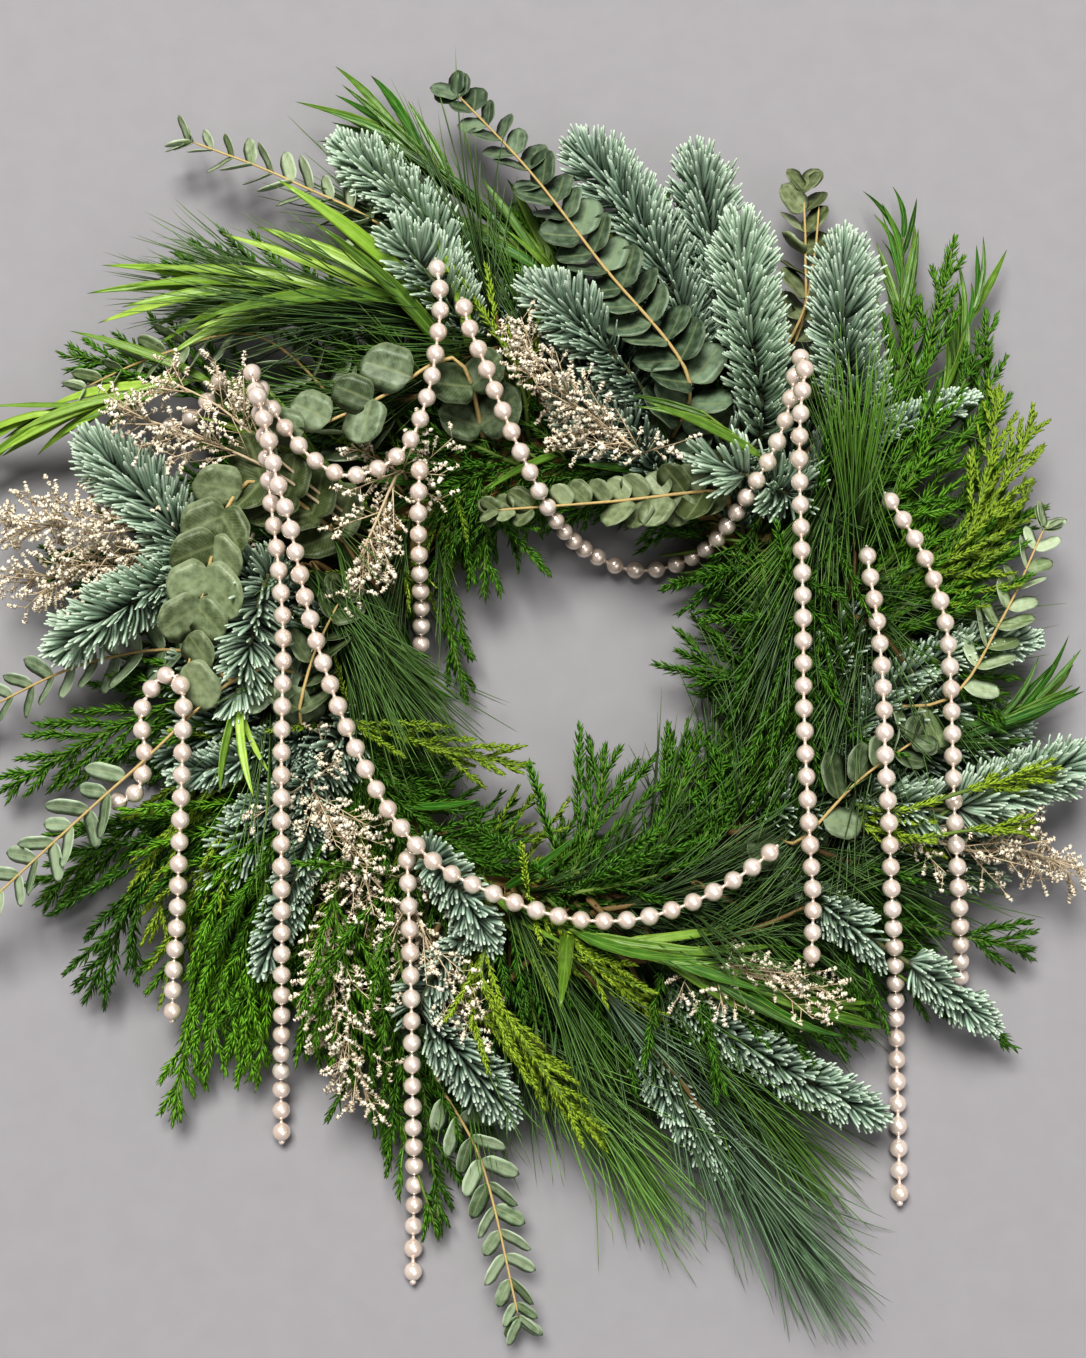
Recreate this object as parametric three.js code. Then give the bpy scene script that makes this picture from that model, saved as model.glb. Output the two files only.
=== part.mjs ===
// A fresh evergreen wreath lying flat, in millimetres: +Z is up and +Y is the top of the wreath.
// A straw form carries sprays of fir, pine, cedar, cypress, eucalyptus, willow-like lance leaves
// and dried filler, held by a binding wire, with strands of pearls draped over them.
import * as THREE from "three";

// ---- Driving dimensions ----
const FORM_RADIUS = 128; // from the wreath's centre to the middle of the straw form
const FORM_WIDTH = 36;
const FORM_HEIGHT = 34;
const FORM_FOOT = 22; // width of the flat underside, and of the top
const WIRE_TURNS = 10;
const WIRE_RADIUS = 0.6;
const NOTCH_DEPTH = 2.6; // the wire crosses the underside in notches this deep
const NOTCH_HALF = 1.0; // degrees either side of a notch's middle
const NOTCH_SLOPE = 0.5; // degrees that each of its ends slopes over
const GAP = 0.35; // what every two pieces keep between them
const FLOOR_GAP = 1.2; // sprays stay this far above the surface
const CEILING = 126; // and below this height
const DRESSED_FROM = 0.62; // growth begins this far along the way from the form to the list's start
const PEARL_RADIUS = 5;
const PEARL_PITCH = 13.1;
const PEARL_CORNER = 0.93 * PEARL_RADIUS; // a pearl is drawn between two triangles this large,
const PEARL_SHOULDER = 0.54 * PEARL_RADIUS; // each this far from its middle
const STRING_RADIUS = 0.8;

const UP = new THREE.Vector3(0, 0, 1);
const degrees = (angle) => (angle * Math.PI) / 180;
const vector = (point) => new THREE.Vector3(point[0], point[1], point[2]);
const mix = (a, b, t) => a + (b - a) * t;

const COLOURS = {
  straw: 0xb99a5b,
  wire: 0x4d5a44,
  pearl: 0xe9dccb,
  fir: 0x5f7f6c,
  pine: 0x4f7a4a,
  cedar: 0x4a6b2f,
  gold: 0x9aa53c,
  eucalyptus: 0x8a9a86,
  lance: 0x7fa23c,
  filler: 0xd9cdb8,
};

// Random draws with a seed, so that the part is the same each time.
function seeded(seed) {
  let state = seed >>> 0;
  return () => {
    state = (state + 0x6d2b79f5) >>> 0;
    let t = state;
    t = Math.imul(t ^ (t >>> 15), t | 1);
    t ^= t + Math.imul(t ^ (t >>> 7), t | 61);
    return ((t ^ (t >>> 14)) >>> 0) / 4294967296;
  };
}

// ---- Room: what is already taken, as balls in a grid ----
const CELL = 6;
const LARGEST_PROBE = 3.6;
const cells = new Map();
const cellKey = (x, y, z) => (x + 500) * 1000000 + (y + 500) * 1000 + (z + 500);

function take(owner, centre, radius) {
  const reach = radius + LARGEST_PROBE + GAP;
  const low = [centre.x, centre.y, centre.z].map((value) => Math.floor((value - reach) / CELL));
  const high = [centre.x, centre.y, centre.z].map((value) => Math.floor((value + reach) / CELL));
  for (let x = low[0]; x <= high[0]; x++) {
    for (let y = low[1]; y <= high[1]; y++) {
      for (let z = low[2]; z <= high[2]; z++) {
        const key = cellKey(x, y, z);
        if (!cells.has(key)) cells.set(key, []);
        cells.get(key).push(owner, centre.x, centre.y, centre.z, radius);
      }
    }
  }
}

// How far a point lies outside the straw form, which is a ring with a six-sided section.
const FORM_SECTION = [
  [-FORM_FOOT / 2, 0],
  [FORM_FOOT / 2, 0],
  [FORM_WIDTH / 2, FORM_HEIGHT / 2],
  [FORM_FOOT / 2, FORM_HEIGHT],
  [-FORM_FOOT / 2, FORM_HEIGHT],
  [-FORM_WIDTH / 2, FORM_HEIGHT / 2],
];

function outsideForm(point) {
  const across = Math.hypot(point.x, point.y) - FORM_RADIUS;
  let furthest = -Infinity;
  FORM_SECTION.forEach((start, i) => {
    const end = FORM_SECTION[(i + 1) % FORM_SECTION.length];
    const length = Math.hypot(end[0] - start[0], end[1] - start[1]);
    const normal = [(end[1] - start[1]) / length, (start[0] - end[0]) / length];
    const off = (across - start[0]) * normal[0] + (point.z - start[1]) * normal[1];
    furthest = Math.max(furthest, off);
  });
  return furthest;
}

const clearOfForm = (centre, radius) => outsideForm(centre) > radius + GAP;

// True where a ball touches nothing of another owner, nor the floor. `root` is the place a needle
// or leaf grows from: its own owner's balls count only away from there.
function clearOfOthers(owner, centre, radius, root = null, ownReach = 0) {
  if (centre.z - radius < FLOOR_GAP || centre.z + radius > CEILING) return false;
  const key = cellKey(
    Math.floor(centre.x / CELL),
    Math.floor(centre.y / CELL),
    Math.floor(centre.z / CELL),
  );
  const balls = cells.get(key);
  if (!balls) return true;
  const ownCounts = root !== null && centre.distanceTo(root) > ownReach;
  for (let i = 0; i < balls.length; i += 5) {
    const own = balls[i] === owner;
    if (own && !ownCounts) continue;
    const least = radius + balls[i + 4] + (own ? 0.05 : GAP);
    const dx = centre.x - balls[i + 1];
    const dy = centre.y - balls[i + 2];
    const dz = centre.z - balls[i + 3];
    if (dx * dx + dy * dy + dz * dz < least * least) return false;
  }
  return true;
}

function isFree(owner, centre, radius, root = null, ownReach = 0) {
  return clearOfForm(centre, radius) && clearOfOthers(owner, centre, radius, root, ownReach);
}

// ---- A body: one closed surface, grown ring by ring ----
class Body {
  constructor(name, colour, roughness, metalness = 0) {
    this.name = name;
    this.material = new THREE.MeshStandardMaterial({ color: colour, roughness, metalness });
    this.points = [];
    this.faces = [];
  }

  add(point) {
    this.points.push(point.clone());
    return this.points.length - 1;
  }

  ring(points) {
    return points.map((point) => this.add(point));
  }

  quad([a, b, c, d]) {
    this.faces.push([a, b, c], [a, c, d]);
  }

  // A fan from the ring to one point: a tip, or a needle on a facet.
  spike(ring, tip) {
    const top = this.add(tip);
    ring.forEach((corner, i) => this.faces.push([corner, ring[(i + 1) % ring.length], top]));
  }

  cap(ring) {
    for (let i = 1; i < ring.length - 1; i++) this.faces.push([ring[0], ring[i + 1], ring[i]]);
  }

  facets(low, high) {
    return low.map((corner, i) => {
      const next = (i + 1) % low.length;
      return [corner, low[next], high[next], high[i]];
    });
  }

  skin(low, high) {
    this.facets(low, high).forEach((facet) => this.quad(facet));
  }

  centre(ring) {
    const sum = new THREE.Vector3();
    ring.forEach((corner) => sum.add(this.points[corner]));
    return sum.divideScalar(ring.length);
  }

  outward([a, b, c, d]) {
    const along = this.points[c].clone().sub(this.points[a]);
    const across = this.points[d].clone().sub(this.points[b]);
    return along.cross(across).normalize();
  }

  mesh() {
    const geometry = new THREE.BufferGeometry();
    const flat = this.points.flatMap((point) => [point.x, point.y, point.z]);
    geometry.setAttribute("position", new THREE.Float32BufferAttribute(flat, 3));
    geometry.setIndex(this.faces.flat());
    geometry.computeVertexNormals();
    const mesh = new THREE.Mesh(geometry, this.material);
    mesh.name = this.name;
    return mesh;
  }
}

// A ring of corners square to `tangent`, turned so that its first corner follows `towards`.
function ringPoints(centre, tangent, towards, radii, twist) {
  const side = towards.clone().addScaledVector(tangent, -towards.dot(tangent));
  if (side.lengthSq() < 1e-8) side.set(1, 0, 0).addScaledVector(tangent, -tangent.x);
  side.normalize();
  const other = tangent.clone().cross(side);
  return radii.map((radius, i) => {
    const angle = twist + (2 * Math.PI * i) / radii.length;
    return centre
      .clone()
      .addScaledVector(side, radius * Math.cos(angle))
      .addScaledVector(other, radius * Math.sin(angle));
  });
}

const curveThrough = (points) => new THREE.CatmullRomCurve3(points, false, "centripetal");

// ---- The straw form ----
const wireAngle = (turn) => ((turn + 0.5) * 360) / WIRE_TURNS;

function formPoint(angle, across, height) {
  const radius = FORM_RADIUS + across;
  return new THREE.Vector3(
    radius * Math.cos(degrees(angle)),
    radius * Math.sin(degrees(angle)),
    height,
  );
}

function makeForm() {
  const body = new Body("straw_ring", COLOURS.straw, 0.95);
  const turn = 360 / WIRE_TURNS;
  const stations = []; // angle, and how far the underside is lifted there
  for (let i = 0; i < WIRE_TURNS; i++) {
    const middle = wireAngle(i);
    stations.push([middle - NOTCH_HALF - NOTCH_SLOPE, 0], [middle - NOTCH_HALF, NOTCH_DEPTH]);
    stations.push([middle + NOTCH_HALF, NOTCH_DEPTH], [middle + NOTCH_HALF + NOTCH_SLOPE, 0]);
    stations.push([middle + turn * 0.36, 0], [middle + turn * 0.64, 0]);
  }
  const rings = stations.map(([angle, lift]) =>
    body.ring(
      FORM_SECTION.map(([across, height]) => formPoint(angle, across, Math.max(height, lift))),
    ),
  );
  rings.forEach((ring, i) => body.skin(rings[(i + 1) % rings.length], ring));
  return body;
}

// ---- The binding wire: it crosses the underside in the notches and leads on over the top ----
function makeWire() {
  const body = new Body("binding_wire", COLOURS.wire, 0.5, 0.6);
  const off = WIRE_RADIUS + 0.6; // from the form's faces to the wire's middle
  const turn = 360 / WIRE_TURNS;
  const foot = FORM_FOOT / 2;
  const half = FORM_WIDTH / 2;
  const crossing = WIRE_RADIUS + 0.4; // height of its middle under the form
  const overTop = [
    [0.15, foot + off * 0.8],
    [0.38, foot * 0.4],
    [0.62, -foot * 0.4],
    [0.85, -foot - off * 0.8],
  ];
  const path = [];
  for (let i = 0; i < WIRE_TURNS; i++) {
    const at = wireAngle(i);
    path.push(formPoint(at, -foot - 0.8, crossing), formPoint(at, foot + 0.8, crossing));
    path.push(formPoint(at, half + off, FORM_HEIGHT / 2));
    overTop.forEach(([share, across]) => {
      path.push(formPoint(at + turn * share, across, FORM_HEIGHT + off + 0.3));
    });
    path.push(formPoint(at + turn, -half - off, FORM_HEIGHT / 2));
  }
  const rings = path.map((point, i) => {
    const before = path[(i + path.length - 1) % path.length];
    const after = path[(i + 1) % path.length];
    const tangent = after.clone().sub(before).normalize();
    const centre = formPoint((Math.atan2(point.y, point.x) * 180) / Math.PI, 0, FORM_HEIGHT / 2);
    const radii = [WIRE_RADIUS, WIRE_RADIUS, WIRE_RADIUS];
    return body.ring(ringPoints(point, tangent, point.clone().sub(centre), radii, Math.PI));
  });
  rings.forEach((ring, i) => body.skin(ring, rings[(i + 1) % rings.length]));
  path.forEach((point, i) => {
    const next = path[(i + 1) % path.length];
    const steps = Math.ceil(point.distanceTo(next));
    for (let k = 0; k < steps; k++) take(body, point.clone().lerp(next, k / steps), 0.9);
  });
  return body;
}

// ---- Strands of pearls on a thin string ----
const STRANDS = {
  // From the top over the foliage and up to the gathering point at the left, then straight down.
  pearl_strand_top_left: [
    [-75, 220, 90], [-72, 196, 92], [-74, 171, 91], [-78, 147, 89], [-88, 120, 85],
    [-102, 107, 82], [-124, 102, 80], [-143, 113, 82], [-158, 131, 86], [-168, 147, 92],
    [-172, 155, 100], [-169, 142, 103], [-165, 122, 98], [-161, 85, 95], [-157, 53, 92],
    [-154, 20, 90], [-154, -42, 86], [-154, -104, 78], [-155, -155, 58], [-157, -197, 34],
    [-159, -224, 14], [-159, -252, 6],
  ],
  // From the top across the hole to the gathering point at the right, then straight down.
  pearl_strand_top_right: [
    [-63, 197, 94], [-59, 181, 94], [-51, 162, 92], [-43, 141, 90], [-34, 120, 86],
    [-24, 100, 78], [-15, 86, 62], [-4, 77, 38], [9, 72, 18], [26, 66, 9],
    [43, 65, 9], [59, 68, 16], [73, 73, 34], [84, 84, 56], [93, 96, 74],
    [103, 112, 86], [110, 129, 92], [114, 147, 97], [117, 162, 101], [119, 153, 111],
    [117, 138, 111], [116, 110, 104], [117, 74, 96], [118, 32, 90], [118, -21, 86],
    [119, -63, 84], [121, -99, 78], [123, -124, 68], [123, -158, 56],
  ],
  // The long swag round the left side and the bottom.
  pearl_strand_swag: [
    [-168, 142, 117], [-163, 124, 113], [-156, 92, 110], [-150, 72, 106], [-145, 47, 98],
    [-139, 21, 94], [-130, -8, 92], [-121, -32, 90], [-108, -60, 87], [-92, -86, 84],
    [-71, -107, 80], [-43, -121, 77], [-16, -131, 75], [7, -135, 74], [33, -134, 74],
    [60, -126, 74], [83, -114, 76], [97, -104, 79], [106, -96, 82],
  ],
  pearl_strand_hole: [
    [-81, 112, 84], [-82, 89, 80], [-82, 59, 64], [-82, 36, 40], [-83, 17, 24],
  ],
  pearl_strand_bottom: [
    [-91, -96, 71], [-90, -114, 70], [-89, -140, 70], [-88, -176, 64], [-88, -208, 52],
    [-88, -239, 38], [-88, -271, 18], [-89, -298, 6.5], [-89, -325, 6],
  ],
  pearl_strand_left: [
    [-251, -71, 50], [-241, -70, 56], [-234, -65, 60], [-231, -54, 64], [-230, -42, 68],
    [-232, -27, 72], [-227, -15, 76], [-219, -7, 82], [-212, -7, 86], [-208, -15, 86],
    [-208, -41, 80], [-209, -72, 74], [-211, -103, 64], [-213, -134, 52], [-216, -160, 40],
    [-218, -187, 28],
  ],
  pearl_strand_right_outer: [
    [164, 91, 86], [170, 82, 86], [179, 68, 84], [186, 55, 82], [192, 39, 80],
    [197, 19, 76], [199, -2, 72], [200, -39, 68], [201, -76, 62], [204, -113, 50],
    [208, -144, 30], [211, -167, 7],
  ],
  pearl_strand_right_inner: [
    [155, 63, 82], [156, 49, 84], [159, 28, 84], [161, 6, 84], [162, -20, 85],
    [162, -52, 86], [164, -83, 80], [167, -124, 64], [171, -155, 42], [175, -192, 14],
    [176, -229, 6.5], [176, -285, 6],
  ],
  pearl_strand_far_left: [
    [-192, 166, 61], [-197, 157, 60], [-203, 147, 59], [-211, 140, 57], [-219, 138, 54],
    [-228, 135, 49],
  ],
};

// How far each strand moves from its route, to lie against the sprays that grew round it.
const SETTLE = {
  pearl_strand_top_left: [-0.6, 0, -0.3],
  pearl_strand_top_right: [1.7, 0, -0.8],
  pearl_strand_swag: [-0.6, -0.6, -0.4],
  pearl_strand_hole: [-2.2, -2.2, 0],
  pearl_strand_bottom: [1.4, -1.4, -1],
  pearl_strand_left: [0.6, 0, -0.3],
  pearl_strand_right_outer: [0.4, 0.4, -0.3],
  pearl_strand_right_inner: [-0.2, 0.2, -0.1],
  pearl_strand_far_left: [0, 0, -1.7],
};

// The room that a pearl takes: its middle, its corners, the slopes either side and the string.
const PEARL_ROOM = { core: 0.74 * PEARL_RADIUS, corner: 1.45, slope: 2.4, string: 1.2 };

function makeStrand(name, points) {
  const body = new Body(name, COLOURS.pearl, 0.25);
  const curve = curveThrough(points.map(vector));
  const count = Math.round(curve.getLength() / PEARL_PITCH);
  const pitch = 1 / count;
  const shoulder = PEARL_SHOULDER / curve.getLength();
  let towards = UP;
  const ringAt = (share, radius, twist) => {
    const centre = curve.getPointAt(Math.min(1, Math.max(0, share)));
    const tangent = curve.getTangentAt(Math.min(1, Math.max(0, share)));
    const radii = [radius, radius, radius];
    const points = ringPoints(centre, tangent, towards, radii, twist);
    towards = points[0].clone().sub(centre);
    return body.ring(points);
  };
  let last = ringAt(0, STRING_RADIUS, 0);
  body.cap(last);
  for (let i = 0; i < count; i++) {
    const middle = (i + 0.5) * pitch;
    [
      [middle - shoulder, PEARL_CORNER, 0],
      [middle + shoulder, PEARL_CORNER, Math.PI / 3],
      [(i + 1) * pitch, STRING_RADIUS, 0],
    ].forEach(([share, radius, twist]) => {
      const ring = ringAt(share, radius, twist);
      body.skin(last, ring);
      last = ring;
      const corners = radius > STRING_RADIUS ? ring : [];
      corners.forEach((corner) => {
        const inside = curve.getPointAt(middle).lerp(body.points[corner], 0.8);
        take(body, inside, PEARL_ROOM.corner);
      });
    });
    take(body, curve.getPointAt(middle), PEARL_ROOM.core);
    take(body, curve.getPointAt(i * pitch), PEARL_ROOM.string);
    take(body, curve.getPointAt((i + 0.17) * pitch), PEARL_ROOM.slope);
    take(body, curve.getPointAt((i + 0.83) * pitch), PEARL_ROOM.slope);
  }
  body.cap([...last].reverse());
  body.points.forEach((point) => point.add(vector(SETTLE[name] ?? [0, 0, 0])));
  return body;
}

// ---- Sprays ----
// Each stem is listed from where its leaves begin to its tip; the first one runs back to a seat
// on the form, and the others fork from it.
const SPRAYS = [
  ["fir_top_left", "fir", [[-65, 190, 50], [-80, 250, 55], [-135, 310, 40]],
    [[-60, 190, 55], [-82, 218, 75], [-96, 232, 86]]],
  ["fir_top", "fir", [[62, 190, 50], [38, 250, 50], [5, 300, 40]],
    [[84, 195, 48], [77, 245, 45], [70, 292, 38]], [[40, 150, 60], [8, 182, 80], [-20, 205, 75]]],
  ["fir_top_big", "fir", [[102, 130, 55], [95, 182, 80], [90, 240, 75]],
    [[116, 96, 60], [94, 103, 74], [70, 113, 70]]],
  ["fir_top_right", "fir", [[152, 134, 55], [146, 183, 76], [147, 242, 65]],
    [[174, 135, 50], [205, 152, 48], [230, 165, 40]]],
  ["fir_left_upper", "fir", [[-200, 60, 60], [-230, 92, 62], [-264, 124, 50]]],
  ["fir_left", "fir", [[-215, 50, 55], [-246, 32, 60], [-277, 14, 48]],
    [[-165, 50, 70], [-172, 17, 76], [-182, -20, 70]]],
  ["fir_left_low", "fir", [[-154, -38, 55], [-180, -50, 60], [-212, -57, 55]],
    [[-147, -65, 58], [-180, -78, 55]], [[-142, -82, 55], [-152, -118, 52], [-167, -158, 45]]],
  ["fir_bottom", "fir", [[-77, -103, 62], [-61, -120, 66], [-46, -145, 55]],
    [[-82, -180, 50], [-64, -202, 50], [-38, -233, 35]]],
  ["fir_bottom_right", "fir", [[60, -176, 40], [104, -208, 35], [160, -237, 24]],
    [[42, -205, 32], [88, -270, 20]]],
  ["fir_right_low", "fir", [[142, -134, 50], [184, -160, 40], [230, -194, 24]]],
  ["fir_right", "fir", [[190, -76, 55], [230, -64, 46], [277, -46, 35]],
    [[175, -5, 55], [210, 12, 50], [250, 20, 34]]],

  ["eucalyptus_top", "eucalyptus", [[62, 155, 76], [14, 222, 76], [-25, 280, 62], [-67, 333, 45]]],
  ["eucalyptus_top_right", "eucalyptus", [[126, 195, 42], [130, 240, 40], [130, 280, 35]]],
  ["eucalyptus_top_left", "eucalyptus", [[-92, 238, 50], [-160, 282, 42], [-220, 310, 32]]],
  ["eucalyptus_left_top", "eucalyptus", [[-173, 186, 58], [-230, 176, 55], [-273, 160, 45]]],
  ["eucalyptus_disc", "broad", [[-65, 167, 80], [-105, 144, 84], [-148, 126, 76]]],
  ["eucalyptus_left", "broad", [[-175, 100, 76], [-200, 27, 84], [-210, -50, 70]]],
  ["eucalyptus_rim", "eucalyptus", [[79, 98, 60], [20, 91, 66], [-44, 87, 62]]],
  ["eucalyptus_left_low", "eucalyptus", [[-173, -4, 76], [-236, -56, 66], [-325, -134, 45]],
    [[-215, 12, 50], [-270, 6, 38], [-328, -18, 24]]],
  ["eucalyptus_bottom", "eucalyptus", [[-80, -197, 38], [-51, -260, 26], [-30, -345, 16]]],
  ["eucalyptus_right", "eucalyptus", [[197, -18, 66], [230, 27, 60], [258, 82, 48]]],

  ["pine_bottom", "pine", [[-8, -145, 55], [55, -218, 42], [100, -282, 26]],
    [[-40, -176, 42], [-3, -213, 34], [16, -240, 26]]],
  ["pine_right", "pine", [[147, 36, 62], [149, 76, 76], [149, 100, 72]],
    [[146, 36, 60], [135, 6, 56], [125, -16, 48]]],
  ["pine_left", "pine", [[-149, 59, 60], [-130, 32, 58], [-118, 4, 50]]],
  ["pine_top_left", "pine", [[-60, 188, 60], [-123, 198, 68], [-165, 208, 60]]],
  ["pine_low_right", "pine", [[23, -155, 52], [85, -142, 58], [130, -124, 55]]],

  ["cedar_bottom_left", "cedar", [[-176, -96, 40], [-202, -154, 32], [-217, -240, 18]],
    [[-166, -107, 42], [-180, -165, 36], [-174, -216, 22]]],
  ["cedar_left", "cedar", [[-199, -10, 40], [-255, -30, 32], [-315, -61, 20]],
    [[-205, -58, 34], [-254, -89, 26], [-294, -122, 16]]],
  ["cedar_right_top", "cedar", [[183, 131, 42], [198, 188, 44], [215, 250, 35]],
    [[206, 90, 42], [228, 143, 40], [232, 208, 30]], [[195, 60, 40], [235, 82, 38], [262, 96, 30]]],
  ["cedar_hole_bottom", "cedar", [[-3, -113, 46], [12, -74, 42], [16, -40, 35]],
    [[34, -107, 46], [56, -64, 42], [68, -28, 35]]],
  ["cedar_hole_right", "cedar", [[123, -24, 38], [91, -2, 32], [58, 16, 24]]],
  ["cedar_hole_top", "cedar", [[-68, 98, 42], [-72, 44, 30], [-60, -10, 18]],
    [[-52, 97, 44], [-50, 45, 34]]],
  ["cedar_bottom", "cedar", [[-132, -138, 38], [-105, -208, 30], [-74, -300, 16]]],
  ["cedar_low_right", "cedar", [[148, -123, 42], [192, -138, 32], [248, -148, 22]]],

  ["cypress_left_low", "gold", [[-192, -48, 48], [-218, -85, 44], [-241, -122, 35]],
    [[-181, -69, 46], [-207, -123, 42], [-224, -180, 28]]],
  ["cypress_inner_left", "gold", [[-121, -28, 58], [-78, -41, 58], [-28, -51, 50]]],
  ["cypress_bottom", "gold", [[-60, -170, 56], [-24, -208, 50], [17, -250, 35]],
    [[-19, -150, 58], [13, -161, 58], [47, -188, 50]]],
  ["cypress_right_top", "gold", [[211, 73, 50], [240, 113, 48], [256, 147, 38]]],
  ["cypress_right", "gold", [[173, -87, 58], [211, -70, 56], [261, -56, 48]]],

  ["lance_top_left", "lance", [[-74, 196, 70], [-133, 206, 78], [-197, 212, 68]]],
  ["lance_left", "lance", [[-200, 160, 58], [-257, 152, 50], [-310, 144, 36]]],
  ["lance_top", "lance", [[9, 195, 42], [-42, 252, 45], [-102, 315, 36]]],
  ["lance_right_top", "lance", [[176, 155, 42], [182, 201, 44], [186, 252, 32]]],
  ["lance_bottom", "lance", [[-3, -140, 68], [54, -156, 68], [118, -180, 55]]],

  ["filler_left", "filler", [[-231, 77, 60], [-276, 80, 52], [-315, 87, 40]],
    [[-227, 62, 52], [-266, 57, 46], [-305, 52, 34]]],
  ["filler_top", "filler", [[35, 117, 70], [-8, 149, 78], [-33, 186, 72]]],
  ["filler_inner_left", "filler", [[-95, 108, 66], [-110, 73, 70], [-127, 37, 64]]],
  ["filler_bottom", "filler", [[-131, -134, 50], [-123, -176, 48], [-111, -232, 30]],
    [[-82, -137, 60], [-72, -166, 58], [-51, -194, 50]]],
  ["filler_right", "filler", [[207, -96, 48], [240, -96, 44], [272, -106, 32]]],
];

// What each kind's stem and growth measure. `step` is the distance between whorls and `foot` the
// length of stem that one whorl covers, where that is less than the step.
const KINDS = {
  fir: { colour: COLOURS.fir, stem: 1.7, step: 9.8, grow: "needle", length: 25, lean: 50, rise: 0.28 },
  pine: { colour: COLOURS.pine, stem: 2.0, step: 10.5, grow: "needle", length: 88, lean: 24, rise: 0.05,
    foot: 3.2, jitter: 3 },
  cedar: { colour: COLOURS.cedar, stem: 1.5, step: 11.5, grow: "needle", length: 14, lean: 42, rise: 0.1 },
  gold: { colour: COLOURS.gold, stem: 1.4, step: 10.5, grow: "needle", length: 24, lean: 30, rise: 0.1 },
  eucalyptus: { colour: COLOURS.eucalyptus, stem: 1.3, step: 18, grow: "leaf", length: 24, width: 9.5,
    lean: 58, thick: 0.7, fullest: 0.55, foot: 3.2 },
  broad: { colour: COLOURS.eucalyptus, stem: 1.4, step: 16, grow: "leaf", length: 34, width: 13,
    lean: 62, thick: 0.7, fullest: 0.55, foot: 3.2 },
  lance: { colour: COLOURS.lance, stem: 1.1, step: 14.5, grow: "leaf", length: 78, width: 3.4,
    lean: 22, thick: 0.55, fullest: 0.4, foot: 3.2 },
  filler: { colour: COLOURS.filler, stem: 1.0, step: 17, grow: "floret", length: 24, width: 2.6,
    lean: 42, foot: 3.2 },
};

const BARE_STEP = 26; // between rings of a stem with nothing on it
const TIP_LENGTH = 9;
const STEM_ROOM = 0.6; // what a stem keeps round its own radius
const LOWEST_STEM = 12;
const jobs = []; // facets that something grows on

// Seats: places on the form's top and flanks where a stem's cut end meets it, each with the two
// parts of the face's normal, outwards and up.
const FLANK_RUN = (FORM_WIDTH - FORM_FOOT) / 2;
const onFlank = (share) => [mix(FORM_WIDTH, FORM_FOOT, share) / 2, mix(0.5, 1, share) * FORM_HEIGHT];
const SEAT_FACES = [
  [4.5, FORM_HEIGHT, 0, 1],
  [-4.5, FORM_HEIGHT, 0, 1],
];
for (const [across, height] of [onFlank(0.68), onFlank(0.26)]) {
  SEAT_FACES.push([across, height, FORM_HEIGHT / 2, FLANK_RUN]);
  SEAT_FACES.push([-across, height, -FORM_HEIGHT / 2, FLANK_RUN]);
}

function seatOptions() {
  const seats = [];
  for (let angle = 0; angle < 360; angle += 3) {
    SEAT_FACES.forEach(([across, height, out, up]) => {
      const length = Math.hypot(out, up);
      const point = formPoint(angle, across, height);
      const radial = formPoint(angle, 0, 0).normalize();
      const normal = radial.multiplyScalar(out / length).addScaledVector(UP, up / length);
      seats.push({ point, normal });
    });
  }
  return seats;
}

const SEATS = seatOptions();

// The balls of a stem along its curve.
function stemBalls(curve, radius) {
  const length = curve.getLength();
  const balls = [];
  for (let along = 0; along <= length; along += 2) {
    balls.push(curve.getPointAt(Math.min(1, along / length)));
  }
  return balls.map((centre) => ({ centre, radius: radius + STEM_ROOM }));
}

// How far a stem may pass aside and above its points, in the order tried.
const BENDS = [
  [0, 0], [0, 5], [0, -5], [4, 3], [-4, 3], [0, 10], [0, -10], [8, 0], [-8, 0], [6, 10], [-6, 10],
  [10, -6], [-10, -6], [0, 16], [0, -15], [12, 12], [-12, 12], [14, -12], [-14, -12], [18, 18],
  [-18, 18], [18, 0], [-18, 0], [0, 22],
];

// The same points moved aside and up together, least at the tip, so that a stem passes another.
function bent(points, [aside, up]) {
  return points.map((point, i) => {
    const share = i === points.length - 1 ? 0.5 : 1;
    const next = points[Math.min(points.length - 1, i + 1)];
    const last = points[Math.max(0, i - 1)];
    const side = next.clone().sub(last).cross(UP).normalize();
    const moved = point.clone().addScaledVector(side, aside * share);
    moved.z = Math.max(LOWEST_STEM, moved.z + up * share);
    return moved;
  });
}

const FACING_COST = 45; // how many millimetres of way a seat that faces away is worth
const SEATS_TRIED = 60;
const SEAT_LIFT = 9; // a stem stands this far out of its seat before it turns
const SEATED_BALLS = 4; // the first of a stem's balls lie at its seat

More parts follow.
